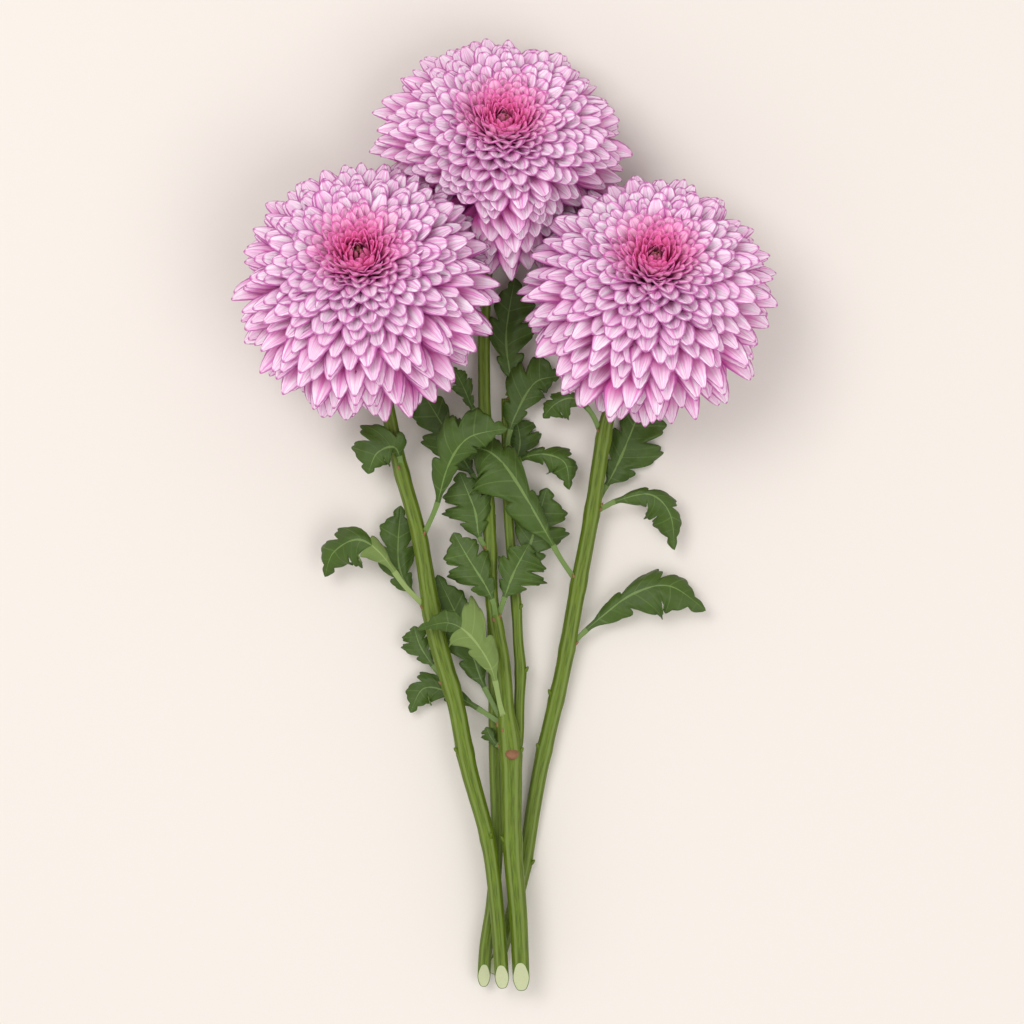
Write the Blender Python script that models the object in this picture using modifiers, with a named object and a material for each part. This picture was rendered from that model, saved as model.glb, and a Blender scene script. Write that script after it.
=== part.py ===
"""A bunch of cut chrysanthemums lying on a flat surface: three blooms on leafy stems, a bare back stem that
ends among the leaves and a leafy side shoot of the centre stem. +Z is up, +Y runs from the cut ends to the
blooms, and the origin is under the middle of the bunch. Run it with blender --background --python part.py.
"""

import math

import bmesh
import bpy
from mathutils import Matrix, Vector

MM = 0.001
GAP = 0.4 * MM  # what touching pieces keep between them
SAME_PLACE = 0.01 * MM  # points closer than this are one point
NEXT_TO = 0.02  # a short step along a curve, as a share of it, that gives the curve's direction
HALVINGS = 40  # how often a search along a curve is halved

# Petal rings of a bloom, from the heart outwards. Angles are in degrees from the bloom's axis.
# base: where the ring leaves the receptacle; lean: the way it first goes; tip: where its tips end.
RINGS = [
    {"name": "inner_petals", "count": 10, "base": 32, "lean": 30, "tip": 33},
    {"name": "upper_petals", "count": 14, "base": 52, "lean": 47, "tip": 56},
    {"name": "middle_petals", "count": 18, "base": 71, "lean": 62, "tip": 80},
    {"name": "lower_petals", "count": 18, "base": 90, "lean": 80, "tip": 104},
    {"name": "back_petals", "count": 14, "base": 109, "lean": 98, "tip": 128},
]
PETAL_THICKNESS = 1.1 * MM
PETAL_NOTCH = 0.34  # how far the rim draws in between two petal tips, as a share of the petal's last stretch
PETAL_STEPS = (0.0, 0.42, 0.75, 1.0)  # rows of the petal sheet, from base to tip
LEAN_REACH = 0.55  # how far a petal keeps to its lean, as a share of the way from the receptacle to its tip

RECEPTACLE_RADIUS = 8.0 * MM
PETAL_BASE_RADIUS = RECEPTACLE_RADIUS + 1.0 * MM
CALYX_LENGTH = 11.0 * MM  # from the receptacle's middle to the stem
CALYX_STEPS = 12
DOME_ANGLES = (0, 35, 70, 105)  # degrees round the receptacle
CUP_WAIST = (0.82, 0.55)  # of the receptacle's radius, at this share of the calyx's length below its middle
CUP_END = 1.15  # of the stem's radius
HEART_RADIUS = 10.5 * MM
HEART_STEPS = 12
# The heart's outline, as shares of its radius and of its height above the receptacle.
HEART_OUTLINE = [(0.0, 0.0), (0.3, 0.0), (0.55, 0.3), (1.0, 0.75), (0.9, 1.0), (0.5, 1.02), (0.0, 0.9)]
CRATER = 0.10  # how far the middle of a bloom sinks in, as a share of its radius
CRATER_WIDTH = 22.0  # degrees

# centre: the middle of the ball of petals; radius: across its widest ring; front and back: how deep it is
# on each side of that ring, as a share of the radius; tilt: of the axis from straight up towards +Y;
# turn: of the axis towards +X; seat: from the centre back to the receptacle, as a share of the radius.
BLOOMS = {
    "left": {"centre": (-61.0, 98.0, 49.8), "radius": 57.0, "front": 0.82, "back": 0.96,
             "tilt": 23.0, "turn": -3.0, "seat": 0.25},
    "right": {"centre": (63.0, 94.5, 49.6), "radius": 55.0, "front": 0.82, "back": 0.96,
              "tilt": 27.0, "turn": 4.0, "seat": 0.25},
    "centre": {"centre": (-3.0, 158.0, 35.5), "radius": 57.0, "front": 0.78, "back": 0.64,
               "tilt": 28.0, "turn": 5.0, "seat": 0.15},
}
# Where two blooms press on each other they meet in a plane. It leans by this angle, and it lies at this
# share of the upper bloom's radius from its centre.
PRESS_LEAN = math.radians(25)
PRESS_AT = 0.95
CUTTER_SIDE = 300.0 * MM  # far larger than a bloom

# Stems: points from the lower end upwards, as (x, y, z, radius) in millimetres. A flowering stem goes on
# through its bloom's neck to the calyx. The shoot is a side branch of the centre stem.
STEMS = {
    "left": [(-1.0, -212.0, 18.0, 3.1), (-3.5, -178.0, 17.4, 3.2), (-7.5, -146.0, 17.2, 3.3),
             (-16.5, -112.0, 17.0, 3.8), (-22.0, -84.0, 16.4, 3.8), (-31.0, -52.0, 15.6, 4.1),
             (-38.0, -11.0, 15.0, 3.4), (-46.5, 20.0, 14.4, 3.3), (-52.0, 45.0, 14.4, 3.1)],
    "centre": [(7.5, -213.0, 18.6, 3.6), (5.8, -178.0, 18.2, 4.0), (3.2, -146.0, 17.8, 4.3),
               (2.6, -108.0, 17.6, 4.8), (0.6, -88.0, 17.2, 3.7), (-1.4, -65.0, 16.4, 3.6),
               (-5.8, -38.0, 15.0, 2.9), (-6.6, -12.0, 13.4, 2.8), (-8.4, 20.0, 11.8, 2.8),
               (-9.4, 60.0, 9.6, 2.7), (-9.0, 96.0, 8.6, 2.7)],
    "right": [(-5.5, -207.0, 3.4, 3.0), (2.5, -182.0, 3.6, 3.1), (8.5, -158.0, 3.8, 3.2),
              (13.0, -130.0, 4.6, 3.3), (17.2, -108.0, 5.4, 3.4), (26.0, -70.0, 7.4, 3.5),
              (32.5, -34.0, 9.4, 3.6), (38.5, -2.0, 11.0, 3.4), (43.5, 31.0, 12.4, 3.4),
              (47.5, 48.0, 13.0, 3.1)],
    "back": [(-9.6, -212.0, 9.6, 2.8), (-8.6, -194.0, 9.9, 2.9), (-5.4, -172.0, 10.0, 2.9),
             (-3.6, -142.0, 9.4, 2.8), (-4.4, -108.0, 7.8, 2.8), (-4.8, -70.0, 6.0, 2.7),
             (-5.0, -30.0, 5.0, 2.5), (-4.6, 0.0, 4.4, 2.3)],
    "shoot": [(8.4, -101.0, 12.8, 2.2), (6.8, -84.0, 10.6, 2.3), (8.4, -70.0, 9.8, 2.6),
              (5.0, -56.0, 9.4, 2.3), (5.4, -40.0, 9.0, 2.2), (2.0, -8.0, 8.4, 2.1),
              (0.6, 24.0, 7.8, 2.0), (0.4, 52.0, 7.4, 1.8)],
}
STEM_ROWS = 26
STEM_BEVEL = 2
NECK_RUN = 10.0 * MM  # straight stretch of stem below the calyx
CUT_ANGLE = math.radians(30)  # of the slanting cut to the stem

# Leaves: the stem, where along Y the leaf grows from it, and the midrib as points in millimetres from the
# stem's axis there, base to tip. left and right are each half's width and how many degrees it rises from
# the midrib to its margin, as seen along the midrib from above.
LEAVES = {
    "right_leaf_1": {"on": "right", "at": -60, "left": (4, -30), "right": (21, 4),
                     "midrib": [(15, 14, 2), (31, 27, 6), (46, 29, 6), (62, 15, 2)]},
    "right_leaf_2": {"on": "right", "at": 0, "left": (6, -30), "right": (10, -15),
                     "midrib": [(11, 6, 3), (26, 9, 7), (35, 0, 5), (37, -16, 0)]},
    "right_leaf_3": {"on": "right", "at": 2, "left": (8, 6), "right": (16, 2),
                     "midrib": [(8, 14, -4), (15, 29, -6), (25, 54, -8)]},
    "right_leaf_4": {"on": "right", "at": 34, "left": (9, -8), "right": (5, -20),
                     "midrib": [(-6, 12, 3), (-14, 18, 5), (-22, 15, 4), (-27, 9, 1)]},
    "right_leaf_5": {"on": "right", "at": -31, "left": (20, 2), "right": (9, -25),
                     "midrib": [(-8, 11, 6), (-18, 29, 14), (-30, 49, 18), (-40, 59, 16), (-52, 61, 9)]},
    "left_leaf_1": {"on": "left", "at": 18, "left": (8, -10), "right": (9, -20),
                    "midrib": [(-1, 8, 5), (-4, 12, 9), (-11, 9, 10), (-15, 0, 8)]},
    "left_leaf_2": {"on": "left", "at": -12, "left": (14, 2), "right": (8, -10),
                    "midrib": [(7, 15, 6), (13, 34, 16), (22, 46, 21), (39, 50, 19)]},
    "left_leaf_3": {"on": "left", "at": -43, "left": (11, 12), "right": (8, 0),
                    "midrib": [(-9, 8, -4), (-15, 22, -7), (-14, 47, -8)]},
    "left_leaf_4": {"on": "left", "at": -44, "left": (10, -4), "right": (5, -30),
                    "midrib": [(-12, 12, 3), (-23, 27, 8), (-33, 33, 9), (-44, 27, 4), (-48, 16, -3)]},
    "left_leaf_5": {"on": "left", "at": -77, "left": (8, 0), "right": (6, 0),
                    "midrib": [(-8, 9, -5), (-14, 18, -7), (-17, 27, -8)]},
    "centre_leaf_1": {"on": "centre", "at": -99, "left": (16, 0), "right": (16, -16),
                      "midrib": [(-5, 14, 5), (-9, 34, 13), (-16, 50, 18), (-26, 57, 16), (-41, 51, 8)]},
    "centre_leaf_2": {"on": "centre", "at": -97, "left": (13, 8), "right": (9, 0),
                      "midrib": [(-11, 20, -5), (-19, 42, -8), (-32, 70, -8)]},
    "centre_leaf_3": {"on": "centre", "at": -96, "left": (8, 0), "right": (7, 0),
                      "midrib": [(-10, 7, -4), (-26, 16, -9), (-38, 18, -10), (-44, 7, -11)]},
    "centre_leaf_4": {"on": "centre", "at": -50, "left": (12, 4), "right": (9, 8),
                      "midrib": [(-1, 10, 5), (-5, 19, 6), (-12, 30, 5), (-19, 42, 3)]},
    "centre_leaf_5": {"on": "centre", "at": -49, "left": (9, 10), "right": (15, 2),
                      "midrib": [(4, 12, 3), (8, 23, 3), (15, 36, 1)]},
    "centre_leaf_6": {"on": "centre", "at": -18, "left": (14, 2), "right": (9, 6),
                      "midrib": [(-5, 8, 3), (-7, 20, 4), (-14, 37, 3)]},
    "centre_leaf_7": {"on": "centre", "at": 4, "left": (12, 0), "right": (8, 6),
                      "midrib": [(-7, 14, 1), (-16, 29, 0), (-32, 55, 0)]},
    "centre_leaf_8": {"on": "centre", "at": 43, "left": (5, 10), "right": (5, 10),
                      "midrib": [(-5, 4, 2), (-9, 13, 3), (-14, 23, 3)]},
    "centre_leaf_9": {"on": "centre", "at": -106, "left": (4, 0), "right": (3, 0),
                      "midrib": [(-7, 4, -3), (-11, 11, -5)]},
    "shoot_leaf_1": {"on": "shoot", "at": -38, "left": (10, 2), "right": (15, 0),
                     "midrib": [(3, 13, 4), (8, 30, 4), (14, 50, 3)]},
    "shoot_leaf_2": {"on": "shoot", "at": 17, "left": (7, -35), "right": (9, -12),
                     "midrib": [(5, 7, 4), (16, 10, 9), (26, 6, 8), (28, -6, 3)]},
    "shoot_leaf_3": {"on": "shoot", "at": 19, "left": (7, 0), "right": (10, 0),
                     "midrib": [(4, 5, -3), (6, 14, -4), (4, 25, -5)]},
    "shoot_leaf_4": {"on": "shoot", "at": 25, "left": (14, 16), "right": (8, -10),
                     "midrib": [(1, 10, 3), (5, 21, 4), (13, 34, 3), (24, 37, 0)]},
    "shoot_leaf_5": {"on": "shoot", "at": 50, "left": (9, 8), "right": (14, 6),
                     "midrib": [(2, 10, 3), (0, 30, 3), (4, 56, 2)]},
}
LEAF_THICKNESS = 1.0 * MM
PETIOLE_WIDTH = 2.6 * MM
BLUNT_TIP = 0.4  # the blade's end, as a share of the petiole's width
FULL_LIFT_AT = 0.4  # where along the leaf its halves have risen fully
# The blade's outline, as (share of the length, share of the half width, how far the margin is drawn
# towards the tip as a share of the length): petiole, first lobe, sinus, second lobe, sinus, end lobe.
LEAF_OUTLINE = [
    (0.0, 0.0, 0.0), (0.2, 0.0, 0.0), (0.3, 0.42, 0.0), (0.38, 0.92, 0.05), (0.47, 0.5, 0.02),
    (0.57, 1.0, 0.07), (0.67, 0.52, 0.03), (0.8, 0.72, 0.06), (0.92, 0.36, 0.02), (1.0, 0.0, 0.0),
]

# Linear colour and roughness.
FINISHES = {
    "petal": ((0.80, 0.42, 0.70), 0.55),
    "heart": ((0.52, 0.08, 0.25), 0.6),
    "calyx": ((0.16, 0.27, 0.06), 0.6),
    "stem": ((0.15, 0.24, 0.04), 0.5),
    "leaf": ((0.05, 0.11, 0.03), 0.5),
}


def clear_scene():
    for old in list(bpy.data.objects):
        bpy.data.objects.remove(old)


def new_collection(name):
    made = bpy.data.collections.new(name)
    bpy.context.scene.collection.children.link(made)
    return made


def finish_material(name, colour, roughness):
    made = bpy.data.materials.new(name)
    made.use_nodes = True
    shader = made.node_tree.nodes["Principled BSDF"]
    shader.inputs["Base Color"].default_value = (*colour, 1.0)
    shader.inputs["Roughness"].default_value = roughness
    shader.inputs["Metallic"].default_value = 0.0
    return made


def add_object(name, data, material, collection):
    made = bpy.data.objects.new(name, data)
    made.data.materials.append(material)
    collection.objects.link(made)
    return made


def mesh_from(bm, name):
    mesh = bpy.data.meshes.new(name)
    bm.to_mesh(mesh)
    bm.free()
    return mesh


def smooth_point(points, at):
    """The point at this share of the way along a smooth curve through evenly numbered points."""
    last = len(points) - 1
    scaled = min(max(at, 0.0), 1.0) * last
    i = min(int(scaled), last - 1)
    t = scaled - i
    before, start = points[max(i - 1, 0)], points[i]
    end, after = points[i + 1], points[min(i + 2, last)]
    return 0.5 * (
        2 * start
        + (end - before) * t
        + (2 * before - 5 * start + 4 * end - after) * t**2
        + (3 * start - before - 3 * end + after) * t**3
    )


# --- Blooms ---------------------------------------------------------------------------------------------


def bloom_matrix(bloom):
    """From the bloom's own frame, with its axis along +Z and its centre at the origin, to the bunch's."""
    place = Matrix.Translation(Vector(bloom["centre"]) * MM)
    tilt = Matrix.Rotation(-math.radians(bloom["tilt"]), 4, "X")
    turn = Matrix.Rotation(math.radians(bloom["turn"]), 4, "Y")
    return place @ turn @ tilt


def ball_radius(bloom, angle):
    """From the bloom's centre to its petal tips, at this angle from the axis."""
    depth = bloom["front"] if angle < math.pi / 2 else bloom["back"]
    share = 1 / math.sqrt(math.sin(angle) ** 2 + (math.cos(angle) / depth) ** 2)
    crater = CRATER * math.exp(-((math.degrees(angle) / CRATER_WIDTH) ** 2))
    return bloom["radius"] * MM * (share - crater)


def seat_depth(bloom):
    return bloom["seat"] * bloom["radius"] * MM


def around(radius, angle):
    return Vector((radius * math.sin(angle), 0.0, radius * math.cos(angle)))


def ring_profile(bloom, ring):
    """One petal's run from the receptacle to its tip, in the bloom's XZ plane."""
    seat = Vector((0.0, 0.0, -seat_depth(bloom)))
    tip_angle = math.radians(ring["tip"])
    tip = around(ball_radius(bloom, tip_angle), tip_angle)
    base = seat + around(PETAL_BASE_RADIUS, math.radians(ring["base"]))
    lean = seat + around(LEAN_REACH * (tip - seat).length, math.radians(ring["lean"]))
    return [base * (1 - t) ** 2 + lean * 2 * t * (1 - t) + tip * t**2 for t in PETAL_STEPS]


def spun(profile, steps):
    """A bmesh of the profile turned right round the Z axis."""
    bm = bmesh.new()
    verts = [bm.verts.new(point) for point in profile]
    edges = [bm.edges.new(pair) for pair in zip(verts, verts[1:])]
    bmesh.ops.spin(
        bm, geom=verts + edges, cent=(0, 0, 0), axis=(0, 0, 1), angle=2 * math.pi, steps=steps,
        use_merge=True, use_duplicate=False,
    )
    bmesh.ops.remove_doubles(bm, verts=bm.verts, dist=SAME_PLACE)
    bmesh.ops.recalc_face_normals(bm, faces=bm.faces)
    return bm


def petal_ring(bloom, ring):
    """A turned sheet whose rim is drawn in at every second step, which leaves one point for each petal."""
    profile = ring_profile(bloom, ring)
    steps = 2 * ring["count"]
    bm = spun(profile, steps)
    rim, before = profile[-1], profile[-2]
    for vert in bm.verts:
        across = math.hypot(vert.co.x, vert.co.y)
        step = round(math.atan2(vert.co.y, vert.co.x) / (2 * math.pi) * steps)
        on_rim = abs(across - rim.x) < SAME_PLACE and abs(vert.co.z - rim.z) < SAME_PLACE
        if on_rim and step % 2:
            drawn = rim.lerp(before, PETAL_NOTCH)
            vert.co.x *= drawn.x / across
            vert.co.y *= drawn.x / across
            vert.co.z = drawn.z
    return bm


def press_planes(name):
    """The planes that stop this bloom: the surface it lies on and where it meets its neighbours. Each is a
    point in front of the bloom's centre and the direction out of the bloom."""
    mine = Vector(BLOOMS[name]["centre"]) * MM
    planes = [(Vector((mine.x, mine.y, 0)), Vector((0, 0, -1)))]
    for other_name, other in BLOOMS.items():
        if other_name == name:
            continue
        theirs = Vector(other["centre"]) * MM
        above, below = (name, other_name) if mine.z > theirs.z else (other_name, name)
        upper, lower = BLOOMS[above], BLOOMS[below]
        upper_at = Vector(upper["centre"]) * MM
        between = Vector(lower["centre"]) * MM - upper_at
        flat = Vector((between.x, between.y, 0)).normalized()
        out = flat * math.cos(PRESS_LEAN) - Vector((0, 0, 1)) * math.sin(PRESS_LEAN)
        share = upper["radius"] / (upper["radius"] + lower["radius"])
        reach = max(PRESS_AT * upper["radius"] * MM, between.length * share)
        if "centre" not in (above, below):
            out, reach = between.normalized(), between.length * share
        on_plane = upper_at + out * (reach - GAP / 2)
        if name == below:
            out, on_plane = -out, on_plane + out * GAP
        planes.append((mine + out * (on_plane - mine).dot(out), out))
    return planes


def press_cutter(name, number, plane, cutters):
    """A block on the far side of a plane."""
    point, out = plane
    bpy.ops.mesh.primitive_cube_add(size=CUTTER_SIDE)
    block = bpy.context.object
    block.name = f"press_{name}_{number}"
    block.rotation_mode = "QUATERNION"
    block.rotation_quaternion = out.to_track_quat("Z", "Y")
    block.location = point + out * CUTTER_SIDE / 2
    for home in list(block.users_collection):
        home.objects.unlink(block)
    cutters.objects.link(block)
    block.hide_render = True
    block.display_type = "WIRE"
    return block


def cut_where_pressed(obj, planes, blocks):
    for plane, block in zip(planes, blocks):
        point, out = plane
        reach = max((obj.matrix_world @ v.co - point).dot(out) for v in obj.data.vertices)
        if reach > -PETAL_THICKNESS:
            cut = obj.modifiers.new(block.name, "BOOLEAN")
            cut.operation = "DIFFERENCE"
            cut.object = block


def add_bloom(name, materials, parts, cutters):
    bloom = BLOOMS[name]
    matrix = bloom_matrix(bloom)
    planes = press_planes(name)
    blocks = [press_cutter(name, i, plane, cutters) for i, plane in enumerate(planes)]
    for ring in RINGS:
        mesh = mesh_from(petal_ring(bloom, ring), ring["name"])
        obj = add_object(f"{name}_{ring['name']}", mesh, materials["petal"], parts)
        obj.matrix_world = matrix
        wall = obj.modifiers.new("wall", "SOLIDIFY")
        wall.thickness = PETAL_THICKNESS
        wall.offset = 0.0
        cut_where_pressed(obj, planes, blocks)
    add_heart(name, bloom, matrix, materials["heart"], parts)
    add_calyx(name, bloom, matrix, materials["calyx"], parts)


def add_heart(name, bloom, matrix, material, parts):
    """The closed florets in the middle, as one bud on the receptacle with a sunken eye."""
    foot = -seat_depth(bloom) + RECEPTACLE_RADIUS + GAP
    tall = ball_radius(bloom, 0.0) - foot
    profile = [Vector((wide * HEART_RADIUS, 0, foot + high * tall)) for wide, high in HEART_OUTLINE]
    mesh = mesh_from(spun(profile, HEART_STEPS), "heart")
    obj = add_object(f"{name}_heart", mesh, material, parts)
    obj.matrix_world = matrix


def add_calyx(name, bloom, matrix, material, parts):
    """The receptacle that the petals stand on and the green cup below it, which narrows to the stem."""
    seat = -seat_depth(bloom)
    dome = [Vector((0, 0, seat)) + around(RECEPTACLE_RADIUS, math.radians(a)) for a in DOME_ANGLES]
    waist, below = CUP_WAIST
    cup = [
        Vector((waist * RECEPTACLE_RADIUS, 0, seat - below * CALYX_LENGTH)),
        Vector((CUP_END * stem_end_radius(name), 0, seat - CALYX_LENGTH)),
        Vector((0, 0, seat - CALYX_LENGTH)),
    ]
    mesh = mesh_from(spun(dome + cup, CALYX_STEPS), "calyx")
    obj = add_object(f"{name}_calyx", mesh, material, parts)
    obj.matrix_world = matrix


# --- Stems ----------------------------------------------------------------------------------------------


def stem_end_radius(name):
    return STEMS[name][-1][3] * MM


def stem_points(name):
    """The stem's own points, and its neck where it carries a bloom, as (x, y, z, radius) vectors."""
    points = [Vector(p) * MM for p in STEMS[name]]
    if name in BLOOMS:
        bloom = BLOOMS[name]
        matrix = bloom_matrix(bloom)
        end = -seat_depth(bloom) - CALYX_LENGTH - GAP
        for below in (NECK_RUN, NECK_RUN / 2, 0.0):
            at = matrix @ Vector((0, 0, end - below))
            points.append(Vector((*at, stem_end_radius(name))))
    return points


def add_stem(name, material, parts):
    """A tube along the stem's points, with its foot cut at a slant so that the cut face looks up."""
    points = stem_points(name)
    rows = [smooth_point(points, i / (STEM_ROWS - 1)) for i in range(STEM_ROWS)]
    curve = bpy.data.curves.new(name, "CURVE")
    curve.dimensions = "3D"
    curve.bevel_depth = 1.0
    curve.bevel_resolution = STEM_BEVEL
    curve.use_fill_caps = True
    spline = curve.splines.new("POLY")
    spline.points.add(STEM_ROWS - 1)
    for point, row in zip(spline.points, rows):
        point.co = (*row.xyz, 1.0)
        point.radius = row.w
    tube = bpy.data.objects.new(name, curve)
    bpy.context.scene.collection.objects.link(tube)
    graph = bpy.context.evaluated_depsgraph_get()
    mesh = bpy.data.meshes.new_from_object(tube.evaluated_get(graph))
    bpy.data.objects.remove(tube)

    bm = bmesh.new()
    bm.from_mesh(mesh)
    bmesh.ops.remove_doubles(bm, verts=bm.verts, dist=SAME_PLACE)
    foot = rows[0].xyz - Vector((0, 0, rows[0].w))
    back = (rows[0].xyz - rows[1].xyz).normalized()
    out = Vector((0, 0, 1)) * math.cos(CUT_ANGLE) + back * math.sin(CUT_ANGLE)
    bmesh.ops.bisect_plane(
        bm, geom=bm.verts[:] + bm.edges[:] + bm.faces[:], plane_co=foot, plane_no=out, clear_outer=True,
    )
    bmesh.ops.holes_fill(bm, edges=[e for e in bm.edges if e.is_boundary])
    bmesh.ops.recalc_face_normals(bm, faces=bm.faces)
    bm.to_mesh(mesh)
    bm.free()
    mesh.materials.clear()
    return add_object(f"{name}_stem", mesh, material, parts)


def on_stem(name, along_y):
    """The point of a stem's axis at this Y, its direction there and its radius."""
    points = stem_points(name)
    low, high = 0.0, 1.0
    for _ in range(HALVINGS):
        middle = (low + high) / 2
        if smooth_point(points, middle).y < along_y:
            low = middle
        else:
            high = middle
    here = smooth_point(points, low)
    ahead = smooth_point(points, low + NEXT_TO)
    return here.xyz, (ahead.xyz - here.xyz).normalized(), here.w


# --- Leaves ---------------------------------------------------------------------------------------------


def leaf_start(midrib, stem_way, radius):
    """The share of the midrib at which the petiole is clear of its stem."""
    clear = radius + GAP + PETIOLE_WIDTH / 2
    steps = 100
    for i in range(steps):
        out = smooth_point(midrib, i / steps)
        if (out - stem_way * out.dot(stem_way)).length > clear:
            return i / steps
    return 0.5


def midrib_frame(midrib, start, share):
    """The midrib's point at this share of the leaf, and the ways to the blade's left and up from it."""
    at = start + (1 - start) * min(share, 1.0)
    along = (smooth_point(midrib, at + NEXT_TO) - smooth_point(midrib, at - NEXT_TO)).normalized()
    left = Vector((0, 0, 1)).cross(along).normalized()
    return smooth_point(midrib, at), left, along.cross(left)


def add_leaf(name, leaf, material, parts):
    """A sheet along the midrib, one strip to each side, wide at the lobes and narrow at the sinuses."""
    axis, stem_way, radius = on_stem(leaf["on"], leaf["at"] * MM)
    midrib = [Vector((0, 0, 0))] + [Vector(point) * MM for point in leaf["midrib"]]
    start = leaf_start(midrib, stem_way, radius)
    bm = bmesh.new()
    rows = len(LEAF_OUTLINE) - 1
    bmesh.ops.create_grid(bm, x_segments=rows, y_segments=2, size=1.0)
    for vert in bm.verts:
        across = round(vert.co.y)
        share, wide, drawn = LEAF_OUTLINE[round((vert.co.x + 1) / 2 * rows)]
        point, left, up = midrib_frame(midrib, start, share + abs(across) * drawn)
        width, lift = leaf["left"] if across > 0 else leaf["right"]
        rise = math.radians(lift) * min(1.0, share / FULL_LIFT_AT)
        half = max(width * MM * wide, PETIOLE_WIDTH / 2 * (1.0 if share < 1.0 else BLUNT_TIP))
        out = left * across * math.cos(rise) + up * abs(across) * math.sin(rise)
        vert.co = point + out * half
    bmesh.ops.recalc_face_normals(bm, faces=bm.faces)
    obj = add_object(name, mesh_from(bm, name), material, parts)
    obj.location = axis
    blade = obj.modifiers.new("blade", "SOLIDIFY")
    blade.thickness = LEAF_THICKNESS
    blade.offset = 0.0


def main():
    clear_scene()
    parts = new_collection("chrysanthemum_bunch")
    cutters = new_collection("cutters")
    materials = {name: finish_material(name, *look) for name, look in FINISHES.items()}
    for name in BLOOMS:
        add_bloom(name, materials, parts, cutters)
    for name in STEMS:
        add_stem(name, materials["stem"], parts)
    for name, leaf in LEAVES.items():
        add_leaf(name, leaf, materials["leaf"], parts)


main()
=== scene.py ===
"""The looks of a bunch of cut chrysanthemums that lies on a flat surface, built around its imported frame.
Lengths are written in millimetres and turned to metres with MM.
"""

import math
import random

import bmesh
import bpy
from mathutils import Matrix, Vector, noise


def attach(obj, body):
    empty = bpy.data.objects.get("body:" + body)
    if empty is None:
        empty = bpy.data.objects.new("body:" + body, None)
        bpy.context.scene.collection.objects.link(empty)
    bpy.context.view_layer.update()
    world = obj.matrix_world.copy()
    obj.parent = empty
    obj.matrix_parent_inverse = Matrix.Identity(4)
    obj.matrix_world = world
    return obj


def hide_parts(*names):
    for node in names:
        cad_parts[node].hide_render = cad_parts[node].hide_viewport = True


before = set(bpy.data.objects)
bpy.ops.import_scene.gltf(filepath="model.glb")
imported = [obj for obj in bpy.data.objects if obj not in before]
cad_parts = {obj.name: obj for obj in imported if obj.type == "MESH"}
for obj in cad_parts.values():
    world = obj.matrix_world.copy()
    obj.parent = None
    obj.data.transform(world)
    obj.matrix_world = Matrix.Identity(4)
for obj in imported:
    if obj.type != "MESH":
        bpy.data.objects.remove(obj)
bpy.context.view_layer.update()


# --- Calyxes --------------------------------------------------------------------------------------
# The knob at the top of each stem that the petals stand on, in a cup of three rows of overlapping green
# bracts. Living tissue, dull and slightly hairy, which grew in one piece with the stem.
MM = 0.001

# centre: of the ball of petals; front and back: its depth on each side of its widest ring, as a share of
# the radius; tilt: of its axis from straight up towards the top of the bunch; turn: to the right; seat:
# from the centre back to the knob, as a share of the radius.
BLOOMS = {
    "left": {"centre": (-61.0, 98.0, 49.8), "radius": 57.0, "front": 0.82, "back": 0.96,
             "tilt": 23.0, "turn": -3.0, "seat": 0.25},
    "right": {"centre": (63.0, 94.5, 49.6), "radius": 55.0, "front": 0.82, "back": 0.96,
              "tilt": 27.0, "turn": 4.0, "seat": 0.25},
    "centre": {"centre": (-3.0, 158.0, 35.5), "radius": 57.0, "front": 0.78, "back": 0.64,
               "tilt": 28.0, "turn": 5.0, "seat": 0.15},
}
KNOB_RADIUS = 8.0
CALYX_LENGTH = 11.0
CALYX_COLOUR = "5F7338"
BRACT_EDGE_COLOUR = "8C8A4E"
# Rows of bracts: how many, where on the knob in degrees from the bloom's axis, and their length.
BRACT_ROWS = [(16, 62.0, 8.0), (14, 92.0, 9.0), (12, 118.0, 8.0)]
BRACT_HALF_WIDTH = 2.4
BRACT_THICKNESS = 0.5
BRACT_LIFT = 0.3  # off the knob at its foot
BRACT_OPEN = 0.9  # how much further off its tip is
BRACT_SHIFT = 0.37  # how far a row is turned against the next, for each degree of its place
# The green cup's outline below the knob, as shares of the knob's radius and of the calyx's length.
CUP_OUTLINE = [(0.82, 0.55), (0.55, 0.85), (0.40, 1.0)]
KNOB_ROWS = range(0, 106, 15)  # degrees from the bloom's axis
KNOB_SIDES = 24
BRACT_GRAIN = 700.0  # mottles in a metre, so each is about 1.4 mm wide


def linear(hex_colour):
    """A hex sRGB colour as linear RGBA."""
    parts = [int(hex_colour[i:i + 2], 16) / 255 for i in (0, 2, 4)]
    return (*[c / 12.92 if c <= 0.04045 else ((c + 0.055) / 1.055) ** 2.4 for c in parts], 1.0)


def add(material, kind, settings=None, links=None):
    """Adds a node to a material. settings maps inputs or properties to values, and links maps inputs to
    sockets."""
    node = material.node_tree.nodes.new(kind)
    for key, value in (settings or {}).items():
        if isinstance(key, int) or key in node.inputs:
            node.inputs[key].default_value = value
        else:
            setattr(node, key, value)
    for key, socket in (links or {}).items():
        material.node_tree.links.new(socket, node.inputs[key])
    return node


def new_material(name, **shader_settings):
    """A material with only its output and a Principled shader, whose constant sockets are set here."""
    made = bpy.data.materials.new(name)
    made.use_nodes = True
    shader = made.node_tree.nodes["Principled BSDF"]
    for key, value in shader_settings.items():
        shader.inputs[key.replace("_", " ")].default_value = value
    return made, shader


def connect(material, socket, shader, key):
    """Links a socket to one of the shader's inputs."""
    material.node_tree.links.new(socket, shader.inputs[key])


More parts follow.
